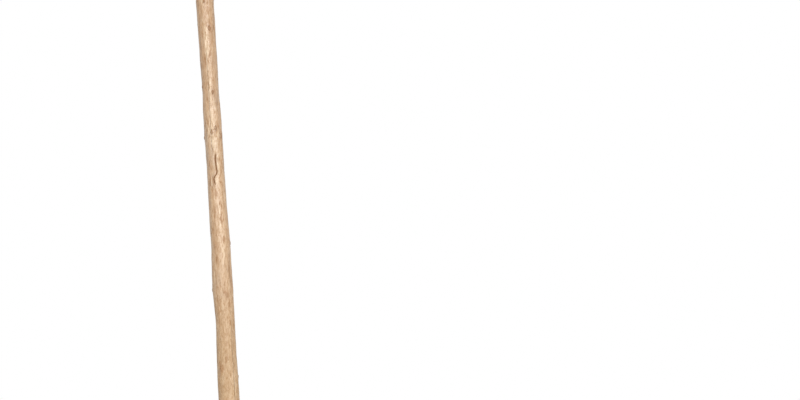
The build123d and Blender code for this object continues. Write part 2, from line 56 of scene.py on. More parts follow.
bl_info = {
    "name": "Wooden Street Light Pole",
    "version": (1, 0, 0),
    "blender": (4, 5, 0),
    "location": "3D View > Sidebar > Light Pole",
    "description": "Finishes a wooden street light pole with insulators and a bracket lamp",
    "category": "Add Mesh",
}

BODY = "root"
HOOKS = ("top_right", "upper_left", "lower_right", "bottom_left")

# The log's form, as in the solid: metres and degrees
LOG_HEIGHT = 9.5
GROUND_RADIUS = 0.113
TOP_RADIUS = 0.082
BUTT_FLARE = 0.009
BUTT_FLARE_REACH = 0.42
LOG_SWEEP = 0.03
ROOF_PITCH = radians(32)
GROWTH_REACH = 0.2
GIRTH_CHANGES = [
    (1.25, 0.003), (2.05, -0.002), (2.9, 0.003), (3.8, 0.001), (4.0, -0.003), (4.33, -0.006),
    (4.66, 0.004), (5.12, -0.002), (5.5, -0.004), (5.86, -0.007), (6.24, -0.003), (6.7, -0.009),
    (7.12, -0.003), (7.6, 0.002), (8.35, -0.001),
]
CROOKS = [(4.33, 0.007), (5.12, 0.005)]
KNOT_WHORLS = [
    (0.78, (20, 140, 255)),
    (1.42, (80, 200, 310)),
    (2.08, (-70, 45, 160)),
    (2.65, (110, 230, 350)),
    (3.16, (-95, 30, 170)),
    (3.815, (18, 135, 250)),
    (4.61, (-52, 70, 190)),
    (5.11, (-110, 10, 125)),
    (5.745, (-83, 40, 165)),
    (6.235, (-162, -81, -56, -16, 75)),
    (6.69, (-59, 100, 215)),
    (7.36, (-55, 60, 180)),
    (7.65, (-77, 30, 150)),
    (8.42, (-100, 45, 130)),
]
KNOT_STEP = 0.037
KNOT_PROUD = 0.005
KNOT_WIDTH = 0.016
KNOT_LENGTH = 0.022
# The stub in a knot's middle, the groove round it, and how uneven its outline is
KNOT_STUB = 0.0020
KNOT_GROOVE = 0.0026
KNOT_UNEVEN = 0.55
# Drying checks: middle height, length, bearing, width, depth
DRYING_CHECKS = [
    (1.5, 1.9, -100, 0.008, 0.034),
    (2.7, 1.5, 95, 0.009, 0.04),
    (4.83, 0.36, -15, 0.006, 0.02),
    (6.5, 1.7, 140, 0.009, 0.038),
    (7.5, 0.9, -125, 0.006, 0.022),
    (9.05, 1.1, 62, 0.007, 0.03),
]
# Small checks, all over the log: lowest and highest values of their sizes
SMALL_CHECK_LENGTHS = (0.22, 1.3)
SMALL_CHECK_WIDTHS = (0.0012, 0.0034)
SMALL_CHECK_DEPTHS = (0.003, 0.011)
SMALL_CHECK_MARGIN = 0.2
# How far the lips of an open check sink
LIP_DROP = 0.0006
# The grain turns up the log, in degrees a metre, and wavers: swing, waves up the log, start
GRAIN_TURN = 5
LONG_WAVER = (0.010, 2.3, 1.0)
SHORT_WAVER = (0.006, 5.1, 0.0)
# How far it parts to either side of a knot, in radians
GRAIN_PARTING = 0.06
# One check winds between two knots: height and bearing of its bends
WINDING_CHECK = [
    (6.01, -64), (5.965, -69), (5.893, -68), (5.83, -63), (5.797, -68), (5.776, -81),
    (5.752, -88), (5.722, -85), (5.69, -77),
]
WINDING_CHECK_WIDTH = 0.009
WINDING_CHECK_DEPTH = 0.013
# How far from its ends it is fully open, and how far from it the grain bends to follow it
WINDING_TIP = 0.025
WINDING_FADE = 0.06
WINDING_REACH = radians(26)
# Painted highlight: pale patches where the sun's glints fall down the sunlit side of the log:
# height, bearing, half height, half width
PAINTED_HIGHLIGHT_PATCHES = [
    (7.12, -79, 0.28, 0.024), (6.22, -76, 0.24, 0.030), (5.49, -68, 0.06, 0.008),
    (5.02, -58, 0.14, 0.018), (6.72, -74, 0.10, 0.016), (7.75, -66, 0.12, 0.016),
    (5.90, -54, 0.10, 0.014), (5.73, -68, 0.05, 0.014), (5.41, -64, 0.07, 0.007),
    (5.26, -64, 0.06, 0.009), (4.92, -60, 0.04, 0.007), (7.56, -84, 0.035, 0.009),
    (7.55, -60, 0.035, 0.008), (7.30, -74, 0.04, 0.010), (6.66, -72, 0.03, 0.010),
    (6.60, -72, 0.06, 0.007),
]
# Brown places, where bark is left in a hollow: given in the same way
BARK_PATCHES = [
    (4.82, -25, 0.075, 0.011), (4.93, -100, 0.035, 0.013), (4.47, -40, 0.02, 0.010),
    (5.42, -92, 0.05, 0.008), (5.47, -76, 0.02, 0.006), (7.00, -96, 0.03, 0.010),
    (3.925, -78, 0.03, 0.006), (3.95, -66, 0.02, 0.006),
]
# Knots fade under grown wood from the first height down to the second
KNOTS_CLEAR = (5.4, 4.9)
# Relief of the wood: its height, its fineness round the log and up it, and where its noise starts
RELIEF = [
    (0.0014, 1.3, 1.7, 2.0), (0.0022, 1.6, 8.0, 9.0), (0.0012, 4.0, 16.0, 14.0),
    (0.0005, 14, 2.2, 21.0),
]
FIBRE_RELIEF = (0.0003, 40, 3.0, 5.0)
# Rust that rain has drawn down the log: its size, and how it widens and fades on its way
STAIN_WIDTH = 0.013
STAIN_LENGTH = 0.3
PLATE_STAIN_LENGTH = 0.39
STAIN_SPREAD = 0.6
STAIN_FADE = 2.2
STAIN_RISE = 0.04
# How far the dressed seat goes past the bracket's plate, and the height of its shoulders
SEAT_MARGIN = 0.025
SEAT_SHOULDER = 0.0008
# How far the fine mesh rows reach up and down from a knot and from a hook
KNOT_ROWS = 0.05
HOOK_ROWS = 0.03
# Marks that the mesh carries for the wood's finish, among them a painted highlight and painted shade
# in the checks
MARKS = ("knot", "ring", "collar", "cream", "split", "crease", "stain")
# Noises of the wood along its grain: fineness round the log and up it, detail, roughness, distortion
WOOD_NOISES = {
    "broad": (2.6, 1.4, 3.0, 0.5, 0.0),
    "flecks": (5.5, 13.0, 5.0, 0.62, 0.6),
    "streaks": (11.0, 1.6, 4.0, 0.62, 0.0),
    "fibres": (60.0, 2.4, 4.0, 0.7, 0.0),
    "hairs": (150.0, 7.0, 2.0, 0.6, 0.0),
    "specks": (12.0, 18.0, 4.0, 0.65, 0.8),
    "dashes": (9.0, 32.0, 3.0, 0.6, 0.8),
    "splinters": (50.0, 14.0, 3.0, 0.6, 0.0),
    "bands": (3.2, 8.0, 3.0, 0.6, 0.6),
    "ripple": (3.0, 17.0, 3.0, 0.5, 0.4),
}

# The hooks, the bracket and the lamp's own frame, as in the solids
HOOK_BAR = 0.018
PLATE_HOLE_SPACING = (0.05, 0.24)
TUBE_RADIUS = 0.024
TUBE_LENGTH = 0.43
SOCKET_DEPTH = 0.082
ARM_TILT = radians(15)
LAMP_PARTING = -0.036

# Where the lamp's fasteners and its hinge sit, in the lamp's own frame
NECK_BOLTS = (-0.034, -0.013)
NECK_RADIUS = 0.031
COVER_SCREWS = [(0.028, 0.027), (0.150, 0.052)]
COVER_DEPTH = 0.022
RIM_DEPTH = 0.011
HINGE_PLACE = (0.1875, -0.0525)
HINGE_LENGTH = 0.044
LATCH_RIVET = (0.5275, -0.0285)

# Sizes of bolts, welds and the hinge, and how unevenly the bolts are turned
BOLT_HEAD_HEIGHT = 0.008
BOLT_WASHER_THICKNESS = 0.0025
BOLT_SPIN = 17
FOOT_WELD = 0.0034
RIB_WELD = 0.0024
CLAMP_BOSS = [(0.010, 0), (0.010, 0.004), (0.0092, 0.005)]
CLAMP_HEAD = (0.013, 0.0055)
SCREW_HEAD = (0.0052, 0.003)
RIVET_HEAD = [(0.0042, 0), (0.004, 0.001), (0.003, 0.002), (0.0012, 0.0026)]
HINGE_KNUCKLES = 5
HINGE_BARREL = 0.0038
HINGE_PIN = 0.0018
PIN_PROUD = 0.0015
LEAF_MARGIN = 0.001
LEAF_WIDTH = 0.018
LEAF_THICKNESS = 0.0016

# The stage
FLOOR_RADIUS = 70
FLOOR_DROP = 0.0005
FLOOR_GLOW = 0.3
KEY_DIRECTION = (0.46, -0.84, 0.30)
KEY_SIZE = radians(5)
SENSOR_WIDTH = 36.0
FAR_CLIP = 300.0
WHITE = (1.0, 1.0, 1.0)


def srgb(red, green, blue):
    """A colour as linear values, from the 0 to 255 numbers that a screen shows."""
    def linear(value):
        value /= 255
        return value / 12.92 if value <= 0.04045 else ((value + 0.055) / 1.055) ** 2.4
    return (linear(red), linear(green), linear(blue))


def rgba(colour):
    """A colour with full opacity."""
    return (*colour, 1.0)


def colour_field(name, description, red, green, blue):
    """A colour that the user can change."""
    return bpy.props.FloatVectorProperty(
        name=name, description=description, default=srgb(red, green, blue), subtype="COLOR")


def length_field(name, description, default):
    """A length that the user can change."""
    return bpy.props.FloatProperty(
        name=name, description=description, default=default, unit="LENGTH")


def angle_field(name, description, degrees):
    """An angle that the user can change."""
    return bpy.props.FloatProperty(
        name=name, description=description, default=radians(degrees), subtype="ANGLE")


# Node trees


def add(tree, kind, inputs=None, **settings):
    """Adds a node, with its settings and with values or links on its inputs."""
    node = tree.nodes.new(kind)
    for name, value in settings.items():
        setattr(node, name, value)
    for name, value in (inputs or {}).items():
        if isinstance(value, bpy.types.NodeSocket):
            tree.links.new(value, node.inputs[name])
        else:
            node.inputs[name].default_value = value
    return node


def maths(tree, operation, first, second=0.0, third=0.0, clamp=False):
    """The result of a sum on values or links."""
    node = add(tree, "ShaderNodeMath", {0: first, 1: second, 2: third}, operation=operation)
    node.use_clamp = clamp
    return node.outputs[0]


def times(tree, first, second):
    """The product of two values or links."""
    return maths(tree, "MULTIPLY", first, second)


def scaled(tree, value, factor, offset, clamp=False):
    """A value times a factor, plus an offset."""
    return maths(tree, "MULTIPLY_ADD", value, factor, offset, clamp)


def mix(tree, factor, first, second):
    """Lays the second colour over the first, as far as the factor says."""
    # 0, 6 and 7 are the node's factor and its two colours
    return add(tree, "ShaderNodeMix", {0: factor, 6: first, 7: second}, data_type="RGBA").outputs[2]


def laid(tree, colour, layers):
    """A colour with others laid over it, each as far as its mask times its strength."""
    for mask, strength, layer in layers:
        colour = mix(tree, times(tree, mask, strength), colour, rgba(layer))
    return colour


def ramp(tree, value, low, high):
    """Stretches the part of a value between low and high to 0 to 1, with soft ends."""
    limits = {"Value": value, "From Min": low, "From Max": high}
    return add(
        tree, "ShaderNodeMapRange", limits, clamp=True, interpolation_type="SMOOTHSTEP",
    ).outputs[0]


def stretched(tree, place, scale):
    """A place scaled by its own number on each axis."""
    return add(
        tree, "ShaderNodeVectorMath", {0: place, 1: scale}, operation="MULTIPLY"
    ).outputs[0]


def cloud(tree, place, scale, detail=3.0, roughness=0.55, distortion=0.0):
    """Soft noise at a place, from 0 to 1."""
    return add(tree, "ShaderNodeTexNoise", {
        "Vector": place, "Scale": scale, "Detail": detail, "Roughness": roughness,
        "Distortion": distortion,
    }).outputs["Fac"]


def object_place(tree):
    """Each point's place in the pole's frame, in metres."""
    return add(tree, "ShaderNodeTexCoord").outputs["Object"]


def attribute(tree, name):
    """A node that reads one of the mesh's marks."""
    return add(tree, "ShaderNodeAttribute", attribute_name=name, attribute_type="GEOMETRY")


def bump(tree, shader, height, strength, distance):
    """Gives a shader a fine relief."""
    relief = add(tree, "ShaderNodeBump", {
        "Height": height, "Strength": strength, "Distance": distance,
    })
    tree.links.new(relief.outputs[0], shader.inputs["Normal"])


def group(name, inputs, outputs):
    """An empty shader group with sockets, its input node and its output node."""
    tree = bpy.data.node_groups.new(name, "ShaderNodeTree")
    for title, kind, default in inputs:
        socket = tree.interface.new_socket(name=title, in_out="INPUT", socket_type=kind)
        socket.default_value = default
    for title, kind in outputs:
        tree.interface.new_socket(name=title, in_out="OUTPUT", socket_type=kind)
    return tree, tree.nodes.new("NodeGroupInput"), tree.nodes.new("NodeGroupOutput")


def weathering_group():
    """Dust and rain marks over a finish: a stained colour, its roughness and a fine height."""
    name = "Weathering"
    if name in bpy.data.node_groups:
        return bpy.data.node_groups[name]
    tree, start, end = group(
        name,
        [
            ("Colour", "NodeSocketColor", (0.5, 0.5, 0.5, 1)),
            ("Dirt Colour", "NodeSocketColor", (*srgb(120, 108, 92), 1)),
            ("Dirt", "NodeSocketFloat", 0.4),
            ("Mottle", "NodeSocketFloat", 0.15),
            ("Grain Scale", "NodeSocketFloat", 400.0),
            ("Roughness", "NodeSocketFloat", 0.5),
        ],
        [
            ("Colour", "NodeSocketColor"),
            ("Roughness", "NodeSocketFloat"),
            ("Height", "NodeSocketFloat"),
        ],
    )
    place = object_place(tree)
    patches = cloud(tree, place, 22.0, 5.0, 0.6)
    runs = cloud(tree, stretched(tree, place, (90.0, 90.0, 6.0)), 1.0, 4.0, 0.6)
    grain = cloud(tree, place, start.outputs["Grain Scale"], 2.0)
    up = add(tree, "ShaderNodeSeparateXYZ", {
        0: add(tree, "ShaderNodeNewGeometry").outputs["Normal"]
    }).outputs["Z"]
    settled = ramp(tree, up, 0.1, 0.9)
    specks = ramp(tree, cloud(tree, place, 130.0, 5.0, 0.7), 0.42, 0.72)
    marks = times(tree, ramp(tree, runs, 0.5, 0.8), maths(tree, "SUBTRACT", 1.0, settled))
    marks = scaled(tree, settled, specks, marks)
    marks = times(tree, marks, ramp(tree, patches, 0.3, 0.7))
    dirt = maths(tree, "MULTIPLY", marks, start.outputs["Dirt"], clamp=True)
    mottle = times(tree, start.outputs["Mottle"], 2.0)
    shade = scaled(tree, maths(tree, "SUBTRACT", patches, 0.5), mottle, 1.0)
    toned = add(tree, "ShaderNodeVectorMath", {0: start.outputs["Colour"], "Scale": shade},
                operation="SCALE").outputs[0]
    tree.links.new(mix(tree, dirt, toned, start.outputs["Dirt Colour"]), end.inputs["Colour"])
    rough = scaled(tree, dirt, 0.35, start.outputs["Roughness"])
    rough = scaled(tree, maths(tree, "SUBTRACT", grain, 0.5), 0.12, rough, clamp=True)
    tree.links.new(rough, end.inputs["Roughness"])
    tree.links.new(scaled(tree, patches, 0.3, grain), end.inputs["Height"])
    return tree


def material(name):
    """A material with a lone Principled shader and its output."""
    made = bpy.data.materials.new(name)
    made.use_nodes = True
    return made, made.node_tree, made.node_tree.nodes["Principled BSDF"]


def weathered(name, colour, roughness, metallic=0.0, dirt=0.4, mottle=0.15, grain=400.0,
              relief=0.0002, dirt_colour=None):
    """A worn finish: its colour and roughness go through the shared weathering group."""
    made, tree, shader = material(name)
    wear = add(tree, "ShaderNodeGroup", node_tree=weathering_group())
    wear.inputs["Colour"].default_value = rgba(colour)
    wear.inputs["Dirt"].default_value = dirt
    wear.inputs["Mottle"].default_value = mottle
    wear.inputs["Grain Scale"].default_value = grain
    wear.inputs["Roughness"].default_value = roughness
    if dirt_colour:
        wear.inputs["Dirt Colour"].default_value = rgba(dirt_colour)
    tree.links.new(wear.outputs["Colour"], shader.inputs["Base Color"])
    tree.links.new(wear.outputs["Roughness"], shader.inputs["Roughness"])
    bump(tree, shader, wear.outputs["Height"], 1.0, relief)
    shader.inputs["Metallic"].default_value = metallic
    return made


# Meshes


def finish_piece(name, mesh, materials, smooth=True):
    """Links a mesh as a piece that rides with the pole."""
    piece = bpy.data.objects.new(name, mesh)
    bpy.context.scene.collection.objects.link(piece)
    for made in materials:
        mesh.materials.append(made)
    if smooth:
        mesh.shade_smooth()
    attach(piece, BODY)
    return piece


def skin(work, rings, matrix, closed=False):
    """Joins rings of points into a tube, with end faces unless it closes on itself."""
    made = [[work.verts.new(matrix @ Vector(point)) for point in ring] for ring in rings]
    pairs = list(zip(made, made[1:])) + ([(made[-1], made[0])] if closed else [])
    for low, high in pairs:
        for place in range(len(low)):
            after = (place + 1) % len(low)
            work.faces.new((low[place], low[after], high[after], high[place]))
    if not closed:
        work.faces.new(reversed(made[0]))
        work.faces.new(made[-1])


def circle(radius, height, segments=32):
    """Points of a level circle."""
    return [
        (radius * cos(2 * pi * k / segments), radius * sin(2 * pi * k / segments), height)
        for k in range(segments)
    ]


def turned(work, profile, matrix, segments=32):
    """A turned form from (radius, height) steps up its axis."""
    skin(work, [circle(radius, height, segments) for radius, height in profile], matrix)


def hexagon_head(work, matrix, across, height):
    """A bolt's hexagon head with the chamfer that a lathe leaves on its corners."""
    segments = 48
    flat = across / 2
    top = flat * 0.95
    chamfer = 0.58
    base, shoulder = [], []
    for k in range(segments):
        angle = 2 * pi * k / segments
        off_flat = (angle + pi / 6) % (pi / 3) - pi / 6
        radius = flat / cos(off_flat)
        level = height - (radius - top) * chamfer
        base.append((radius * cos(angle), radius * sin(angle), 0))
        shoulder.append((radius * cos(angle), radius * sin(angle), level))
    skin(work, [base, shoulder, circle(top, height, segments)], matrix)


def washer(work, matrix, radius, thickness):
    """A flat washer with a broken upper edge."""
    edge = thickness * 0.2
    turned(work, [(radius, 0), (radius, thickness - edge), (radius - edge, thickness)], matrix)


def slotted_head(work, matrix, radius, height):
    """A low domed screw head with a slot across it, as two halves and the floor between."""
    slot = radius * 0.16
    steps = [(1, 0), (0.99, 0.35), (0.85, 0.8), (0.55, 1)]
    for side in (0, pi):
        rings = []
        for share, rise in steps:
            reach = radius * share
            start = asin(min(slot / reach, 1))
            arc = [start + (pi - 2 * start) * k / 12 + side for k in range(13)]
            rings.append([(reach * cos(a), reach * sin(a), height * rise) for a in arc])
        skin(work, rings, matrix)
    floor_radius, floor_height = radius * 0.9, height * 0.45
    turned(work, [(floor_radius, 0), (floor_radius, floor_height)], matrix, 24)


def bead(work, points, radius, closed=False):
    """A weld bead along a line of points, with the ripples of its passes."""
    count = len(points)
    rings = []
    for place, point in enumerate(points):
        before = points[place - 1] if closed or place else point
        after = points[(place + 1) % count] if closed or place < count - 1 else point
        turn = (after - before).to_track_quat("Z", "Y").to_matrix()
        ripple = 1 + 0.16 * abs(sin(place * pi / 4))
        ring = circle(radius * ripple, 0, 10)
        rings.append([point + turn @ Vector(spot) for spot in ring])
    skin(work, rings, Matrix.Identity(4), closed)


def line(start, end, gap=0.0011):
    """Points along a straight line, a gap apart."""
    start, end = Vector(start), Vector(end)
    count = max(2, round((end - start).length / gap))
    return [start.lerp(end, k / count) for k in range(count + 1)]


def facing(place, direction):
    """A frame at a place whose Z points in a direction."""
    turn = Vector(direction).to_track_quat("Z", "Y").to_matrix().to_4x4()
    return Matrix.Translation(Vector(place)) @ turn


def small_piece(name, work, made):
    """Turns a work mesh into a piece with crisp edges."""
    bmesh.ops.recalc_face_normals(work, faces=work.faces)
    mesh = bpy.data.meshes.new(name)
    work.to_mesh(mesh)
    work.free()
    piece = finish_piece(name, mesh, [made])
    mesh.set_sharp_from_angle(angle=radians(38))
    return piece


def lamp_frame():
    """The lamp's own frame: x along the tube, z up, zero at the housing's rear wall."""
    low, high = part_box("bracket_plate")
    return (
        Matrix.Translation((high.x, 0, (low.z + high.z) / 2))
        @ Matrix.Rotation(-ARM_TILT, 4, "Y")
        @ Matrix.Translation((TUBE_LENGTH - SOCKET_DEPTH, 0, 0))
    )


def dress(node, *materials):
    """Gives a solid its finish."""
    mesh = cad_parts[node].data
    mesh.materials.clear()
    for made in materials:
        mesh.materials.append(made)


# The log


def grown(changes, height):
    """Sum of the log's local changes at a height, each fading out above and below."""
    return sum(
        change * np.exp(-(((height - level) / GROWTH_REACH) ** 2)) for level, change in changes
    )


def log_radius(height):
    """The log's radius at a height, before its knots."""
    share = height / LOG_HEIGHT
    taper = GROUND_RADIUS * (1 - share) + TOP_RADIUS * share
    return taper + BUTT_FLARE * np.exp(-height / BUTT_FLARE_REACH) + grown(GIRTH_CHANGES, height)


def log_centre(height):
    """How far the log's middle lies towards the lamp's side at a height."""
    share = height / LOG_HEIGHT
    return 4 * LOG_SWEEP * share * (1 - share) + grown(CROOKS, height)


def knot_places():
    """Height and bearing of every knot, stepped within its whorl."""
    places = []
    for height, bearings in KNOT_WHORLS:
        for order, bearing in enumerate(bearings):
            places.append((height + KNOT_STEP * (order % 3 - 1), radians(bearing)))
    return places


class LogSettings(bpy.types.PropertyGroup):
    columns: bpy.props.IntProperty(
        name="Columns", description="Mesh columns round the log", default=164, min=24, max=220)
    row_gap: length_field("Row Gap", "Height between mesh rows", 0.022)
    fine_row_gap: length_field("Fine Row Gap", "Height between rows at knots", 0.009)
    small_checks: bpy.props.IntProperty(
        name="Small Checks", description="Number of small drying checks", default=46)
    pale: colour_field("Pale Wood", "Colour of the sun-bleached streaks", 226, 198, 164)
    # painted highlight: the colour of the glints and pale patches down the sunlit side
    painted_highlight_colour: colour_field("Painted Highlight", "Colour of the painted highlight down the sunlit side", 238, 212, 178)
    tan: colour_field("Tan Wood", "Colour of most of the log", 204, 168, 131)
    amber: colour_field("Amber Wood", "Colour of the darker streaks", 166, 120, 80)
    golden: colour_field("Golden Wood", "Colour of the log's lower half", 186, 152, 106)
    grey: colour_field("Grey Wood", "Colour of the weathered patches", 182, 163, 145)
    knot: colour_field("Knot", "Colour of the knots' hearts and of bark left on", 148, 102, 58)
    knot_rim: colour_field("Knot Rim", "Colour of the knots' rims and piths", 108, 72, 42)
    # painted shade: the colour laid inside the drying checks and, fainter, on their lips
    check: colour_field("Check", "Colour inside the drying checks", 78, 53, 36)
    rust: colour_field("Rust Stain", "Colour of the rust below hooks and bolts", 100, 60, 38)
    splashed: colour_field("Splashed Foot", "Colour of the foot that rain splashes", 100, 86, 70)
    aloft: colour_field("Greyed Wood", "Colour of the bleached wood aloft", 134, 120, 107)
    top: colour_field("Top", "Colour of the wood just under the roof cut", 96, 84, 73)
    head: colour_field("Tarred Head", "Colour of the tarred roof cut", 52, 46, 42)
    year: colour_field("Year Ring", "Colour of the rings where the tar is worn", 112, 96, 80)
    late_year: colour_field("Late Wood", "Colour between those rings", 78, 64, 52)


def hook_level(order):
    """Height of a hook's shank."""
    low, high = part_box(f"hook_{HOOKS[order]}")
    return low.z + HOOK_BAR / 2


def row_levels(settings, seat_low, seat_high):
    """Heights of the mesh rows: fine at knots and hooks, and doubled at the seat's shoulders."""
    fine = settings.fine_row_gap
    spans = [(height - KNOT_ROWS, height + KNOT_ROWS) for height, bearing in knot_places()]
    spans.append((WINDING_CHECK[-1][0], WINDING_CHECK[0][0]))
    hook_levels = [hook_level(order) for order in range(len(HOOKS))]
    spans += [(level - HOOK_ROWS, level + HOOK_ROWS) for level in hook_levels]
    levels = list(np.arange(0, LOG_HEIGHT + TOP_RADIUS, settings.row_gap))
    for low, high in spans:
        levels += list(np.arange(low, high, fine))
    keep = [seat_low - SEAT_SHOULDER, seat_low, seat_high, seat_high + SEAT_SHOULDER, 0.0]
    chosen = []
    for level in sorted(levels):
        near_kept = any(abs(level - kept) < fine / 2 for kept in keep)
        if not near_kept and (not chosen or level - chosen[-1] > fine * 0.8):
            chosen.append(level)
    return np.array(sorted(chosen + keep))


def all_checks(settings):
    """The large drying checks and seeded small ones: middle, length, bearing, width, depth."""
    checks = list(DRYING_CHECKS)
    rng = random.Random(7)
    for _ in range(settings.small_checks):
        length = rng.uniform(*SMALL_CHECK_LENGTHS)
        middle = rng.uniform(SMALL_CHECK_MARGIN, LOG_HEIGHT - SMALL_CHECK_MARGIN)
        bearing = rng.uniform(-180, 180)
        sizes = (rng.uniform(*SMALL_CHECK_WIDTHS), rng.uniform(*SMALL_CHECK_DEPTHS))
        checks.append((middle, length, bearing, *sizes))
    return checks


def wrapped(angle):
    """An angle brought to within half a turn of zero."""
    return (angle + pi) % (2 * pi) - pi


def wave(z, swing, waves, start):
    """A sine wave up the log."""
    return swing * np.sin(z * waves + start)


def surface_noise(angle, z, across, up, seed):
    """Smooth noise over the log, by its fineness round the log and up it."""
    places = zip(
        (np.cos(angle) * across + seed).ravel(), (np.sin(angle) * across - seed).ravel(),
        (z * up).ravel(),
    )
    return np.array([noise.noise(Vector(place)) for place in places]).reshape(z.shape)


def seen_from(angle, bearing):
    """How far each place lies aside of a bearing, and whether it is on that side of the log."""
    return np.sin(angle - bearing), np.cos(angle - bearing) > 0


def rust_stain(angle, z):
    """How much rust has run down the log at each place, below the hooks and the bolts."""
    plate_low, plate_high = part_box("bracket_plate")
    sources = [
        (hook_level(order), pi * (order % 2), STAIN_LENGTH) for order in range(len(HOOKS))
    ]
    for side in (-0.5, 0.5):
        bearing = side * PLATE_HOLE_SPACING[0] / plate_low.x
        sources.append((plate_low.z, bearing, PLATE_STAIN_LENGTH))
    stain = np.zeros_like(z)
    for top, bearing, length in sources:
        below = (top - z) / length
        aside, facing_it = seen_from(angle, bearing)
        across = aside * TOP_RADIUS / (STAIN_WIDTH * (1 + STAIN_SPREAD * below))
        run = np.where(below > -STAIN_RISE, np.exp(-STAIN_FADE * np.clip(below, 0, None)), 0)
        stain = np.maximum(stain, run * np.exp(-(across**2)) * facing_it)
    return stain


def bend_to_winding_check(angle, levels):
    """Bends the mesh columns along the winding check, and finds its column and its opening."""
    heights, bearings = zip(*reversed(WINDING_CHECK))
    off = wrapped(angle - np.interp(levels, heights, np.radians(bearings))[:, None])
    middle = np.argmin(abs(levels - sum(heights) / len(heights)))
    column = np.argmin(abs(off[middle]))
    outside = np.maximum(np.maximum(heights[0] - levels, levels - heights[-1]), 0)
    shift = -off[:, column] * np.exp(-((outside / WINDING_FADE) ** 2))
    beside = wrapped(angle - angle[:, column, None])
    angle = angle + shift[:, None] * np.exp(-((beside / WINDING_REACH) ** 2))
    inside = np.minimum(heights[-1] - levels, levels - heights[0])
    return angle, column, np.sqrt(np.clip(inside / WINDING_TIP, 0, 1))


def open_check(grid, column, opening, width, depth, dark=1.0):
    """Opens a check along a mesh column: its bottom, its two lips and painted shade on them, dark
    inside and fainter on the lips.
    """
    angle, radius, relief, split = grid
    least_opening, least_width, lip_shade = 0.02, 0.3, 0.25
    relief[:, column] -= opening * depth
    # painted shade inside the check
    split[:, column] = np.maximum(split[:, column], dark * np.clip(opening * 1.6, 0, 1))
    half = width / 2 / radius[:, column]
    active = opening > least_opening
    for side in (-1, 1):
        lip = (column + side) % angle.shape[1]
        target = angle[:, column] + side * half * np.maximum(opening, least_width)
        angle[active, lip] = target[active]
        relief[active, lip] -= LIP_DROP * opening[active]
        split[:, lip] = np.maximum(split[:, lip], lip_shade * dark * active)


def in_patches(patches, angle, radius, z):
    """How far each place lies inside any of the patches, from 0 to 1."""
    inside = np.zeros_like(z)
    for height, bearing, half_height, half_width in patches:
        aside, facing_it = seen_from(angle, radians(bearing))
        across = aside * radius / half_width
        patch = np.exp(-(across**2) - ((z - height) / half_height) ** 2) * facing_it
        inside = np.maximum(inside, patch)
    return inside


def add_knot(place, size, grid, marks):
    """Parts the grain round a knot, raises its rim and stub, marks its wood, and paints a highlight
    to one side of it.
    """
    height, bearing = place
    angle, z, radius, swell = grid
    off = wrapped(angle - bearing)
    u = off * radius / (KNOT_WIDTH * size)
    v = (z - height) / (KNOT_LENGTH * size)
    parted = np.exp(-((u / 2) ** 2) - (v / 2.6) ** 2) * (1 - np.exp(-2 * u**2))
    angle += np.sign(off) * GRAIN_PARTING * size * parted
    u = wrapped(angle - bearing) * radius / (KNOT_WIDTH * size)
    uneven = 1 + KNOT_UNEVEN * surface_noise(angle, z, 9, 60, 31.0 + height)
    reach = (u**2 + v**2) * uneven
    groove = np.exp(-((np.sqrt(reach) - 1.1) / 0.3) ** 2)
    swell += KNOT_PROUD * size * np.exp(-reach / 3.0)
    swell += KNOT_STUB * np.exp(-reach * 1.8) - KNOT_GROOVE * groove
    heart = ((1.5 * u) ** 2 + (0.95 * v) ** 2) * uneven
    clear, hidden = KNOTS_CLEAR
    shown = np.clip((height - hidden) / (clear - hidden), 0.35, 1)
    # painted highlight, a knot's width to one side, where the sun catches its swelling
    lit = 1.4 * shown * np.exp(-((u + 1.7) ** 2) / 0.8 - (v - 0.4) ** 2 / 3.5)
    marks["knot"] = np.maximum(marks["knot"], shown * np.exp(-(heart / 2.4) ** 2))
    marks["ring"] = np.minimum(marks["ring"], np.sqrt(heart))
    marks["cream"] = np.maximum(marks["cream"], np.minimum(lit, 1))
    marks["collar"] = np.maximum(marks["collar"], np.exp(-(reach / 5.0) ** 1.5))


def open_checks(settings, grid, levels, winding):
    """Opens the straight checks and then the winding one."""
    columns = settings.columns
    for middle, length, bearing, width, depth in all_checks(settings):
        turned_back = radians(bearing) - radians(GRAIN_TURN) * middle - wave(middle, *LONG_WAVER)
        column = round(turned_back / (2 * pi) * columns) % columns
        opening = np.clip(1 - (2 * (levels - middle) / length) ** 2, 0, 1) ** 0.7
        ragged = [0.85 + 0.3 * noise.noise(Vector((level * 9, column, 0))) for level in levels]
        open_check(grid, column, opening * np.array(ragged), width, depth)
    open_check(grid, *winding, WINDING_CHECK_WIDTH, WINDING_CHECK_DEPTH, dark=0.5)


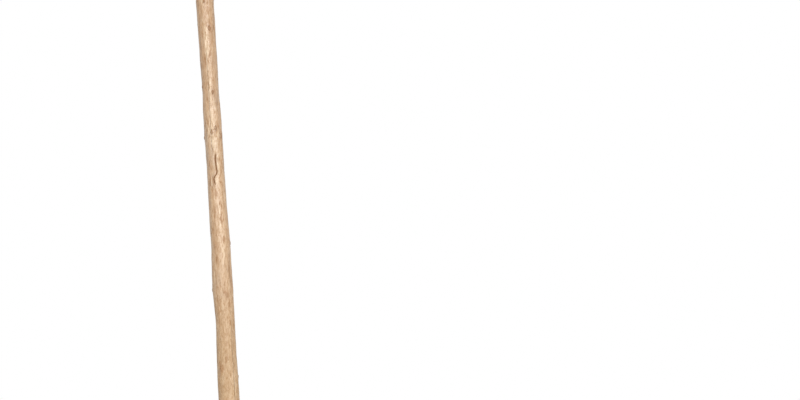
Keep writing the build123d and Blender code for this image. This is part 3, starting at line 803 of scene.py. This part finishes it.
def log_mesh(settings):
    """The log as a fine grid that follows the grain, with the marks that its finish reads."""
    plate_low, plate_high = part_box("bracket_plate")
    seat_low, seat_high = plate_low.z - SEAT_MARGIN, plate_high.z + SEAT_MARGIN
    levels = row_levels(settings, seat_low, seat_high)
    columns = settings.columns
    z = np.repeat(levels[:, None], columns, 1)
    column_angle = 2 * pi * np.arange(columns) / columns
    grain_angle = np.repeat(column_angle[None, :], len(levels), 0)
    wavers = wave(z, *LONG_WAVER) + wave(z, *SHORT_WAVER)
    angle = grain_angle + radians(GRAIN_TURN) * z + wavers
    radius = log_radius(z)
    swell = np.zeros_like(z)
    marks = {name: np.zeros_like(z) for name in MARKS}
    marks["ring"] += 3.0
    rng = random.Random(3)
    for place in knot_places():
        add_knot(place, rng.uniform(0.8, 1.2), (angle, z, radius, swell), marks)
    angle, winding, wound = bend_to_winding_check(angle, levels)
    # painted highlight patches down the sunlit side of the log
    cream = in_patches(PAINTED_HIGHLIGHT_PATCHES, angle, radius, z)
    marks["cream"] = np.maximum(marks["cream"], cream)
    relief = sum(height * surface_noise(angle, z, *texture) for height, *texture in RELIEF)
    fibre_height, *texture = FIBRE_RELIEF
    relief += fibre_height * surface_noise(grain_angle, z, *texture)
    open_checks(settings, (angle, radius, relief, marks["split"]), levels, (winding, wound))
    # the band along the winding check: partly its worn brown edges, partly painted shade of its
    # groove
    beside = wrapped(angle - angle[:, winding, None]) * radius
    crease = np.exp(-((beside / WINDING_CHECK_WIDTH / 1.2) ** 2)) * wound[:, None]
    marks["crease"] = np.maximum(crease, 0.85 * in_patches(BARK_PATCHES, angle, radius, z))
    marks["stain"] = rust_stain(angle, z)
    radius = radius + swell + relief
    x = log_centre(z) + radius * np.cos(angle)
    on_seat = (z >= seat_low - 1e-6) & (z <= seat_high + 1e-6)
    x = np.where(on_seat, np.minimum(x, plate_low.x), x)
    grain = np.stack((np.cos(grain_angle), np.sin(grain_angle), z), -1)
    return np.stack((x, radius * np.sin(angle), z), -1), grain, marks


def grid_object(places, grain, marks):
    """A tube from rows of points, open above and closed by a face below."""
    rows, columns = places.shape[:2]
    mesh = bpy.data.meshes.new("log")
    index = np.arange(rows * columns).reshape(rows, columns)
    beside = np.roll(index, -1, 1)
    faces = np.stack((index[:-1], beside[:-1], beside[1:], index[1:]), -1).reshape(-1, 4)
    underside = index[0][::-1].tolist()
    mesh.from_pydata(places.reshape(-1, 3).tolist(), [], faces.tolist() + [underside])
    for name in MARKS:
        layer = mesh.attributes.new(name, "FLOAT", "POINT")
        layer.data.foreach_set("value", marks[name].ravel().astype(np.float32))
    layer = mesh.attributes.new("grain", "FLOAT_VECTOR", "POINT")
    layer.data.foreach_set("vector", grain.ravel().astype(np.float32))
    return mesh


def cut_roof(mesh):
    """Cuts the two slopes of the head, with their faces in the tarred finish."""
    work = bmesh.new()
    work.from_mesh(mesh)
    for side in (1, -1):
        normal = Vector((side * sin(ROOF_PITCH), 0, cos(ROOF_PITCH)))
        everything = work.verts[:] + work.edges[:] + work.faces[:]
        cut = bmesh.ops.bisect_plane(
            work, geom=everything, plane_co=Vector((0, 0, LOG_HEIGHT)), plane_no=normal,
            clear_outer=True, dist=1e-6,
        )
        rim = [part for part in cut["geom_cut"] if isinstance(part, bmesh.types.BMEdge)]
        made = bmesh.ops.edgenet_fill(work, edges=rim)["faces"]
        for face in made:
            face.material_index = 1
            face.smooth = False
    for edge in work.edges:
        kinds = {face.material_index for face in edge.link_faces}
        if len(kinds) > 1:
            edge.smooth = False
    bmesh.ops.recalc_face_normals(work, faces=work.faces)
    work.to_mesh(mesh)
    work.free()


def wood_signals(tree):
    """What the wood is mixed from: the mesh's marks, and noises along the grain."""
    wood = SimpleNamespace()
    for name in MARKS:
        setattr(wood, name, attribute(tree, name).outputs["Fac"])
    grain = attribute(tree, "grain").outputs["Vector"]
    for name, (across, up, *texture) in WOOD_NOISES.items():
        place = stretched(tree, grain, (across, across, up))
        setattr(wood, name, cloud(tree, place, 1.0, *texture))
    fray = scaled(tree, wood.splinters, 0.24, -0.12)
    for name in ("flecks", "specks", "dashes"):
        setattr(wood, name, maths(tree, "ADD", getattr(wood, name), fray))
    place = object_place(tree)
    wood.patches = cloud(tree, stretched(tree, place, (7.0, 7.0, 2.6)), 1.0, 4.0, 0.6)
    wood.height = add(tree, "ShaderNodeSeparateXYZ", {0: place}).outputs["Z"]
    wood.below = ramp(tree, wood.height, 5.4, 4.4)
    return wood


def clear_wood(tree, wood, settings):
    """Colour of the wood between its knots: streaks, flecks and specks laid over each other, and a
    painted highlight down the sunlit side.
    """
    def part(value, low, high, within=None):
        share = ramp(tree, value, low, high)
        return times(tree, share, within) if within else share

    return laid(tree, rgba(settings.tan), [
        (part(wood.streaks, 0.44, 0.70), 0.5, settings.pale),
        (part(wood.flecks, 0.52, 0.66), 0.85, settings.amber),
        (part(wood.flecks, 0.46, 0.36), 0.6, settings.pale),
        (part(wood.fibres, 0.52, 0.78), 0.5, settings.amber),
        (part(wood.broad, 0.52, 0.75), 0.35, settings.amber),
        (part(wood.height, 6.3, 6.9), 0.2, settings.amber),
        (part(wood.height, 4.8, 3.9), 0.4, settings.golden),
        (part(wood.bands, 0.52, 0.66, wood.below), 0.5, settings.pale),
        (part(wood.bands, 0.46, 0.34, wood.below), 0.35, settings.amber),
        (part(wood.dashes, 0.56, 0.68, wood.below), 0.48, settings.knot),
        (part(wood.dashes, 0.44, 0.34, wood.below), 0.5, settings.pale),
        (part(wood.patches, 0.50, 0.74), 0.4, settings.grey),
        (part(wood.specks, 0.55, 0.70), 0.7, settings.knot),
        (part(wood.specks, 0.44, 0.32), 0.6, settings.pale),
        (part(wood.hairs, 0.60, 0.72), 0.3, settings.knot),
        (wood.collar, 0.45, settings.amber),
        # painted highlight down the sunlit side and beside the knots
        (part(wood.flecks, 0.64, 0.44, wood.cream), 0.8, settings.painted_highlight_colour),
    ])


def knot_wood(tree, wood, settings, colour):
    """Lays the knots over the wood: a heart with its years, a dark rim and the pith."""
    years = maths(tree, "SINE", scaled(tree, wood.ring, 26.0, times(tree, wood.flecks, 9.0)))
    heart = times(tree, ramp(tree, wood.ring, 1.05, 0.8), scaled(tree, years, 0.16, 0.68))
    off_rim = maths(tree, "ABSOLUTE", maths(tree, "SUBTRACT", wood.ring, 0.98))
    rim = times(tree, ramp(tree, off_rim, 0.24, 0.04), scaled(tree, wood.flecks, 0.9, 0.25))
    pith = times(tree, ramp(tree, wood.ring, 0.34, 0.12), 0.7)
    return laid(tree, colour, [
        (wood.knot, heart, settings.knot),
        (wood.knot, maths(tree, "MAXIMUM", rim, pith), settings.knot_rim),
    ])


def weather_wood(tree, wood, settings, colour):
    """Lays painted shade in the checks and the winding groove, bark left in hollows, and what years
    outdoors have done, up to the greyed head.
    """
    rust = scaled(tree, wood.fibres, 1.4, 0.3)
    splashed = ramp(tree, scaled(tree, wood.patches, -0.5, wood.height), 0.3, -0.3)
    bleached = scaled(tree, ramp(tree, wood.streaks, 0.34, 0.62), 0.62, 0.2)
    aloft = ramp(tree, wood.height, LOG_HEIGHT - 1.8, LOG_HEIGHT - 0.4)
    top = ramp(tree, wood.height, LOG_HEIGHT - 0.30, LOG_HEIGHT - 0.04)
    return laid(tree, colour, [
        # a brown band along the winding check, partly its worn brown edges and partly painted shade
        # of its groove, and the bark left in hollows
        (wood.crease, 0.9, settings.knot),
        # painted shade inside the drying checks and on their lips
        (wood.split, 0.9, settings.check),
        (wood.stain, rust, settings.rust),
        (splashed, 0.8, settings.splashed),
        (aloft, bleached, settings.aloft),
        (top, 0.7, settings.top),
    ])


def wood_material(settings):
    """Debarked pine: flecks and streaks along the grain, a hard sheen, knots and checks."""
    made, tree, shader = material("Weathered Pine")
    wood = wood_signals(tree)
    colour = clear_wood(tree, wood, settings)
    colour = knot_wood(tree, wood, settings, colour)
    colour = weather_wood(tree, wood, settings, colour)
    tree.links.new(colour, shader.inputs["Base Color"])
    dull = scaled(tree, wood.fibres, 0.2, 0.2)
    dull = scaled(tree, ramp(tree, wood.flecks, 0.5, 0.62), 0.14, dull)
    dull = scaled(tree, wood.below, 0.22, dull)
    inside = maths(tree, "MAXIMUM", wood.split, wood.crease)
    dull = maths(tree, "MAXIMUM", dull, times(tree, inside, 0.9))
    tree.links.new(dull, shader.inputs["Roughness"])
    relief = scaled(tree, wood.hairs, 0.10, times(tree, wood.fibres, 0.22))
    relief = scaled(tree, wood.ripple, 2.4, relief)
    bump(tree, shader, scaled(tree, wood.flecks, -0.5, relief), 1.0, 0.004)
    return made


def end_grain_material(settings):
    """The roof cut: tar that has worn off the year rings in places."""
    made, tree, shader = material("Tarred End Grain")
    place = object_place(tree)
    parts = add(tree, "ShaderNodeSeparateXYZ", {0: place})
    across = maths(tree, "POWER", parts.outputs["X"], 2.0)
    deep = maths(tree, "POWER", parts.outputs["Y"], 2.0)
    radius = maths(tree, "SQRT", maths(tree, "ADD", across, deep))
    wobble = times(tree, cloud(tree, place, 12.0, 2.0), 18.0)
    rings = maths(tree, "SINE", scaled(tree, radius, 2600.0, wobble))
    worn = ramp(tree, cloud(tree, place, 34.0, 5.0, 0.65), 0.52, 0.66)
    wood = mix(tree, ramp(tree, rings, -1.0, 1.0), rgba(settings.year), rgba(settings.late_year))
    colour = mix(tree, times(tree, worn, 0.7), rgba(settings.head), wood)
    tree.links.new(colour, shader.inputs["Base Color"])
    shader.inputs["Roughness"].default_value = 0.62
    height = scaled(tree, rings, 0.25, cloud(tree, place, 160.0, 4.0))
    bump(tree, shader, height, 0.8, 0.0015)
    return made


class POLE_OT_log(bpy.types.Operator):
    """Build the debarked log with its fibres, knots, drying checks and roof cut"""
    bl_idname = "pole.log"
    bl_label = "Log"

    def execute(self, context):
        settings = context.scene.pole_log
        mesh = grid_object(*log_mesh(settings))
        cut_roof(mesh)
        piece = finish_piece(
            "weathered_log", mesh, [wood_material(settings), end_grain_material(settings)],
            smooth=False,
        )
        for face in mesh.polygons:
            face.use_smooth = face.material_index == 0 and len(face.vertices) < 6
        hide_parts("pole_log")
        return {"FINISHED"}


# Hooks and insulators


class FittingSettings(bpy.types.PropertyGroup):
    glass: colour_field("Glass", "Colour of the insulators' glass", 196, 212, 202)
    hook_steel: colour_field("Hook Steel", "Colour of the hooks", 74, 68, 63)
    hook_rust: colour_field("Hook Rust", "Colour of the hooks' rust", 122, 74, 46)
    sleeve: colour_field("Sleeve", "Colour of the plastic sleeves", 222, 218, 204)


def glass_material(settings):
    """Pressed green glass with dust on it."""
    made, tree, shader = material("Insulator Glass")
    place = object_place(tree)
    shader.inputs["Base Color"].default_value = rgba(settings.glass)
    shader.inputs["Transmission Weight"].default_value = 1.0
    shader.inputs["IOR"].default_value = 1.5
    dust = ramp(tree, cloud(tree, place, 60.0, 5.0, 0.6), 0.4, 0.7)
    tree.links.new(scaled(tree, dust, 0.22, 0.05), shader.inputs["Roughness"])
    bump(tree, shader, cloud(tree, place, 45.0, 2.0), 0.35, 0.001)
    return made


class POLE_OT_fittings(bpy.types.Operator):
    """Finish the hooks, their sleeves and the glass insulators"""
    bl_idname = "pole.fittings"
    bl_label = "Hooks and Insulators"

    def execute(self, context):
        settings = context.scene.pole_fittings
        steel = weathered(
            "Rusting Hook Steel", settings.hook_steel, 0.55, metallic=0.6, dirt=1.0, mottle=0.3,
            grain=900.0, relief=0.0005, dirt_colour=settings.hook_rust,
        )
        sleeve = weathered("Sleeve Plastic", settings.sleeve, 0.45, dirt=0.5, relief=0.0001)
        glass = glass_material(settings)
        for name in HOOKS:
            dress(f"hook_{name}", steel)
            dress(f"sleeve_{name}", sleeve)
            dress(f"insulator_{name}", glass)
        return {"FINISHED"}


# Bracket


class BracketSettings(bpy.types.PropertyGroup):
    zinc: colour_field("Zinc", "Colour of the galvanised steel", 140, 144, 146)
    bolt_zinc: colour_field("Bolt Zinc", "Colour of the bolts and washers", 140, 140, 136)
    bolt_rust: colour_field("Bolt Rust", "Colour of the bolts' rust", 118, 84, 62)
    bolt_across: length_field("Bolt Head", "Width of a bolt's head across its flats", 0.019)
    washer: length_field("Washer", "Diameter of the washers", 0.028)


def bracket_bolts(made, settings):
    """Four coach screws with washers in the plate's holes."""
    low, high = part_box("bracket_plate")
    work = bmesh.new()
    for across in (-0.5, 0.5):
        for up in (-0.5, 0.5):
            y = across * PLATE_HOLE_SPACING[0]
            z = (low.z + high.z) / 2 + up * PLATE_HOLE_SPACING[1]
            face = facing((high.x, y, z), (1, 0, 0))
            washer(work, face, settings.washer / 2, BOLT_WASHER_THICKNESS)
            seat = face @ Matrix.Translation((0, 0, BOLT_WASHER_THICKNESS))
            spin = Matrix.Rotation(BOLT_SPIN * up + across, 4, "Z")
            hexagon_head(work, seat @ spin, settings.bolt_across, BOLT_HEAD_HEIGHT)
    small_piece("bracket_bolts", work, made)


def bracket_welds(made):
    """Beads round the tube's foot and along both sides of the ribs."""
    low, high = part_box("bracket_plate")
    face, level = high.x, (low.z + high.z) / 2
    work = bmesh.new()
    tall = TUBE_RADIUS / cos(ARM_TILT)
    count = 144
    foot = [
        Vector((face + 0.001, (TUBE_RADIUS + 0.0005) * cos(2 * pi * k / count),
                level + (tall + 0.0005) * sin(2 * pi * k / count)))
        for k in range(count)
    ]
    bead(work, foot, FOOT_WELD, closed=True)
    slope = Vector((cos(ARM_TILT), 0, sin(ARM_TILT)))
    for node, side in (("bracket_lower_rib", -1), ("bracket_upper_rib", 1)):
        rib_low, rib_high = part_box(node)
        outer = rib_low.z if side < 0 else rib_high.z
        inner = level + side * tall
        run = (rib_high.x - face) / slope.x
        for across in (rib_low.y, rib_high.y):
            foot_end = Vector((face + 0.0008, across, outer - side * 0.004))
            bead(work, line((face + 0.0008, across, inner), foot_end), RIB_WELD)
            start = Vector((face, across, inner - side * 0.0003))
            bead(work, line(start, start + slope * (run - 0.003)), RIB_WELD)
    small_piece("bracket_welds", work, made)


class POLE_OT_bracket(bpy.types.Operator):
    """Finish the lamp's bracket and add its bolts and welds"""
    bl_idname = "pole.bracket"
    bl_label = "Bracket"

    def execute(self, context):
        settings = context.scene.pole_bracket
        zinc = weathered(
            "Galvanised Steel", settings.zinc, 0.52, metallic=0.5, dirt=0.6, mottle=0.4,
            grain=260.0,
        )
        for node in ("bracket_plate", "bracket_tube", "bracket_lower_rib", "bracket_upper_rib",
                     "lamp_latch"):
            dress(node, zinc)
        bolt_zinc = weathered(
            "Bolt Zinc", settings.bolt_zinc, 0.5, metallic=0.7, dirt=0.9, mottle=0.3, grain=700.0,
            dirt_colour=settings.bolt_rust,
        )
        bracket_bolts(bolt_zinc, settings)
        bracket_welds(zinc)
        return {"FINISHED"}


# Lamp


class LampSettings(bpy.types.PropertyGroup):
    paint: colour_field("Paint", "Colour of the cast housing", 196, 198, 194)
    fastener: colour_field("Lamp Screws", "Colour of bolts, screws and hinge", 150, 150, 146)
    rubber: colour_field("Rubber", "Colour of the gasket", 38, 38, 38)
    reflector: colour_field("Reflector", "Colour of the reflector's metal", 226, 228, 230)
    porcelain: colour_field("Porcelain", "Colour of the lamp holder", 236, 232, 220)
    bulb: colour_field("Bulb", "Colour of the bulb's frosted glass", 240, 240, 236)
    bowl: colour_field("Bowl", "Colour of the clear bowl", 248, 248, 242)


def clear_material(settings):
    """Clear plastic that has yellowed a little and gathered dust."""
    made, tree, shader = material("Clear Bowl Plastic")
    place = object_place(tree)
    shader.inputs["Base Color"].default_value = rgba(settings.bowl)
    shader.inputs["Transmission Weight"].default_value = 1.0
    shader.inputs["IOR"].default_value = 1.49
    dust = cloud(tree, place, 30.0, 5.0, 0.6)
    tree.links.new(scaled(tree, dust, 0.2, 0.02), shader.inputs["Roughness"])
    return made


def lamp_fasteners(made):
    """Clamp bolts under the neck, the gear cover's screws and the latch's rivet."""
    place = lamp_frame()
    work = bmesh.new()
    for order, x in enumerate(NECK_BOLTS):
        under = place @ facing((x, 0, -NECK_RADIUS + 0.0005), (0, 0, -1))
        turned(work, CLAMP_BOSS, under)
        seat = under @ Matrix.Translation((0, 0, CLAMP_BOSS[-1][1]))
        hexagon_head(work, seat @ Matrix.Rotation(order, 4, "Z"), *CLAMP_HEAD)
    for x, y in COVER_SCREWS:
        for side in (-1, 1):
            under = facing((x, side * y, LAMP_PARTING - COVER_DEPTH), (0, 0, -1))
            spin = Matrix.Rotation(3 * x / y * side, 4, "Z")
            slotted_head(work, place @ under @ spin, *SCREW_HEAD)
    rivet = facing((LATCH_RIVET[0], 0, LATCH_RIVET[1]), (1, 0, 0))
    turned(work, RIVET_HEAD, place @ rivet)
    small_piece("lamp_fasteners", work, made)


def lamp_hinge(made):
    """The hinge on which the bowl's frame swings down: a barrel of knuckles and two leaves."""
    place = lamp_frame()
    x, z = HINGE_PLACE
    work = bmesh.new()
    end = place @ facing((x, -HINGE_LENGTH / 2, z), (0, 1, 0))
    length = HINGE_LENGTH / HINGE_KNUCKLES
    edge = HINGE_BARREL - 0.0004
    knuckle = [
        (edge, 0.0002), (HINGE_BARREL, 0.0006), (HINGE_BARREL, length - 0.0006),
        (edge, length - 0.0002),
    ]
    for k in range(HINGE_KNUCKLES):
        turned(work, knuckle, end @ Matrix.Translation((0, 0, k * length)), 20)
    turned(work, [(HINGE_PIN, -PIN_PROUD), (HINGE_PIN, HINGE_LENGTH + PIN_PROUD)], end, 16)
    half = HINGE_LENGTH / 2 - LEAF_MARGIN
    for side, depth in ((1, RIM_DEPTH), (-1, COVER_DEPTH)):
        near, far = x + side * LEAF_MARGIN, x + side * LEAF_WIDTH
        corners = [(near, -half), (far, -half), (far, half), (near, half)]
        top = LAMP_PARTING - depth
        rings = [[(a, b, level) for a, b in corners] for level in (top, top - LEAF_THICKNESS)]
        skin(work, rings, place)
    small_piece("lamp_hinge", work, made)


class POLE_OT_lamp(bpy.types.Operator):
    """Finish the street lamp and add its clamp bolts, screws, rivet and hinge"""
    bl_idname = "pole.lamp"
    bl_label = "Lamp"

    def execute(self, context):
        settings = context.scene.pole_lamp
        paint = weathered("Housing Paint", settings.paint, 0.42, dirt=0.55, mottle=0.1,
                          grain=700.0)
        rubber = weathered("Gasket Rubber", settings.rubber, 0.75, dirt=0.3)
        bright = weathered("Reflector Metal", settings.reflector, 0.12, metallic=1.0, dirt=0.15,
                           mottle=0.05, relief=0.00005)
        porcelain = weathered("Porcelain", settings.porcelain, 0.2, dirt=0.2, mottle=0.04)
        frosted = weathered("Bulb Glass", settings.bulb, 0.25, dirt=0.1, mottle=0.02)
        for node in ("lamp_housing", "lamp_gear_cover", "lamp_bowl_frame"):
            dress(node, paint)
        dress("lamp_gasket", rubber)
        dress("lamp_bowl", clear_material(settings))
        dress("lamp_reflector", bright)
        dress("lamp_holder", porcelain)
        dress("lamp_bulb", frosted)
        fastener = weathered("Lamp Screw Zinc", settings.fastener, 0.42, metallic=0.85, dirt=0.6,
                             mottle=0.25, grain=900.0, relief=0.0001)
        lamp_fasteners(fastener)
        lamp_hinge(fastener)
        return {"FINISHED"}


# Stage


class StageSettings(bpy.types.PropertyGroup):
    distance: length_field("Camera Distance", "From the pole to the camera", 18.0)
    eye: length_field("Eye Height", "Height of the camera", 1.6)
    bearing: angle_field("Camera Side", "Turn of the camera towards the lamp's side", 18)
    aim: angle_field("Aim Beside Pole", "How far right of the pole the camera looks", 5.8835)
    pitch: angle_field("Pitch", "Upward tilt of the camera", 12.0)
    roll: angle_field("Roll", "Sideways tilt of the camera", 4.5988)
    focal: bpy.props.FloatProperty(
        name="Focal Length", description="Lens on a 36 mm sensor, in millimetres", default=82.62)
    key: bpy.props.FloatProperty(
        name="Key Light", description="Strength of the sun-like key light", default=2.0)
    fill: bpy.props.FloatProperty(
        name="Fill", description="Strength of the light from all around", default=0.5)
    floor: colour_field("Floor", "Colour of the floor", 236, 236, 234)


def seen_rays(tree):
    """1 for what the camera sees, also in gloss and through glass, and 0 for light."""
    path = add(tree, "ShaderNodeLightPath")
    seen = maths(tree, "MAXIMUM", path.outputs["Is Camera Ray"], path.outputs["Is Glossy Ray"])
    return maths(tree, "MAXIMUM", seen, path.outputs["Is Transmission Ray"])


def stage_world(fill):
    """An even pale surround that looks white to the camera, in gloss and through glass."""
    world = bpy.data.worlds.new("Studio")
    world.use_nodes = True
    tree = world.node_tree
    background = tree.nodes["Background"]
    strength = add(tree, "ShaderNodeMapRange", {
        "Value": seen_rays(tree), "To Min": fill, "To Max": 1.0,
    })
    background.inputs["Color"].default_value = rgba(WHITE)
    tree.links.new(strength.outputs[0], background.inputs["Strength"])
    bpy.context.scene.world = world


def stage_floor(settings):
    """A wide white floor, round at its edge so that no corner shows, with the pole's shadow."""
    mesh = bpy.data.meshes.new("floor")
    work = bmesh.new()
    bmesh.ops.create_circle(work, cap_ends=True, segments=96, radius=FLOOR_RADIUS)
    work.to_mesh(mesh)
    work.free()
    floor = bpy.data.objects.new("floor", mesh)
    floor.location.z = -FLOOR_DROP
    bpy.context.scene.collection.objects.link(floor)
    made, tree, shader = material("Floor")
    shader.inputs["Base Color"].default_value = rgba(settings.floor)
    shader.inputs["Roughness"].default_value = 0.9
    shader.inputs["Emission Color"].default_value = rgba(WHITE)
    tree.links.new(times(tree, seen_rays(tree), FLOOR_GLOW), shader.inputs["Emission Strength"])
    mesh.materials.append(made)


def stage_light(name, direction, strength, size):
    """A soft distant light that shines from a direction."""
    light = bpy.data.lights.new(name, "SUN")
    light.energy = strength
    light.angle = size
    lamp = bpy.data.objects.new(name, light)
    lamp.rotation_euler = Vector(direction).to_track_quat("Z", "Y").to_euler()
    bpy.context.scene.collection.objects.link(lamp)


def stage_camera(settings):
    """The camera at eye height, looking up past the pole and tilted a little."""
    data = bpy.data.cameras.new("camera")
    data.sensor_width = SENSOR_WIDTH
    data.lens = settings.focal
    data.clip_end = FAR_CLIP
    camera = bpy.data.objects.new("camera", data)
    place = Vector((sin(settings.bearing), -cos(settings.bearing), 0)) * settings.distance
    place.z = settings.eye
    heading = Vector((-place.x, -place.y, 0)).normalized()
    heading = Matrix.Rotation(-settings.aim, 3, "Z") @ heading
    forward = heading * cos(settings.pitch) + Vector((0, 0, sin(settings.pitch)))
    right = forward.cross(Vector((0, 0, 1))).normalized()
    up = right.cross(forward)
    turned_right = right * cos(settings.roll) - up * sin(settings.roll)
    turned_up = right * sin(settings.roll) + up * cos(settings.roll)
    frame_matrix = Matrix((turned_right, turned_up, -forward)).transposed().to_4x4()
    frame_matrix.translation = place
    camera.matrix_world = frame_matrix
    bpy.context.scene.collection.objects.link(camera)
    bpy.context.scene.camera = camera


class POLE_OT_stage(bpy.types.Operator):
    """Set up the floor, the surround, the lights and the camera"""
    bl_idname = "pole.stage"
    bl_label = "Stage"

    def execute(self, context):
        settings = context.scene.pole_stage
        context.scene.view_settings.view_transform = "Standard"
        stage_world(settings.fill)
        stage_floor(settings)
        stage_light("key", KEY_DIRECTION, settings.key, KEY_SIZE)
        stage_camera(settings)
        return {"FINISHED"}


class POLE_PT_panel(bpy.types.Panel):
    """Lists the pole's steps and its sizes and colours"""
    bl_label = "Street Light Pole"
    bl_idname = "POLE_PT_panel"
    bl_space_type = "VIEW_3D"
    bl_region_type = "UI"
    bl_category = "Light Pole"

    def draw(self, context):
        for operator in OPERATORS:
            self.layout.operator(operator.bl_idname)
        for name, kind in SETTINGS.items():
            box = self.layout.box()
            for field in kind.__annotations__:
                box.prop(getattr(context.scene, name), field)


SETTINGS = {
    "pole_log": LogSettings,
    "pole_fittings": FittingSettings,
    "pole_bracket": BracketSettings,
    "pole_lamp": LampSettings,
    "pole_stage": StageSettings,
}
OPERATORS = (POLE_OT_log, POLE_OT_fittings, POLE_OT_bracket, POLE_OT_lamp, POLE_OT_stage)


def register():
    for kind in (*SETTINGS.values(), *OPERATORS, POLE_PT_panel):
        bpy.utils.register_class(kind)
    for name, kind in SETTINGS.items():
        setattr(bpy.types.Scene, name, bpy.props.PointerProperty(type=kind))


def unregister():
    for name in SETTINGS:
        delattr(bpy.types.Scene, name)
    for kind in reversed((*SETTINGS.values(), *OPERATORS, POLE_PT_panel)):
        bpy.utils.unregister_class(kind)


def main():
    register()
    bpy.ops.pole.log()
    bpy.ops.pole.fittings()
    bpy.ops.pole.bracket()
    bpy.ops.pole.lamp()
    bpy.ops.pole.stage()


if __name__ == "__main__":
    main()
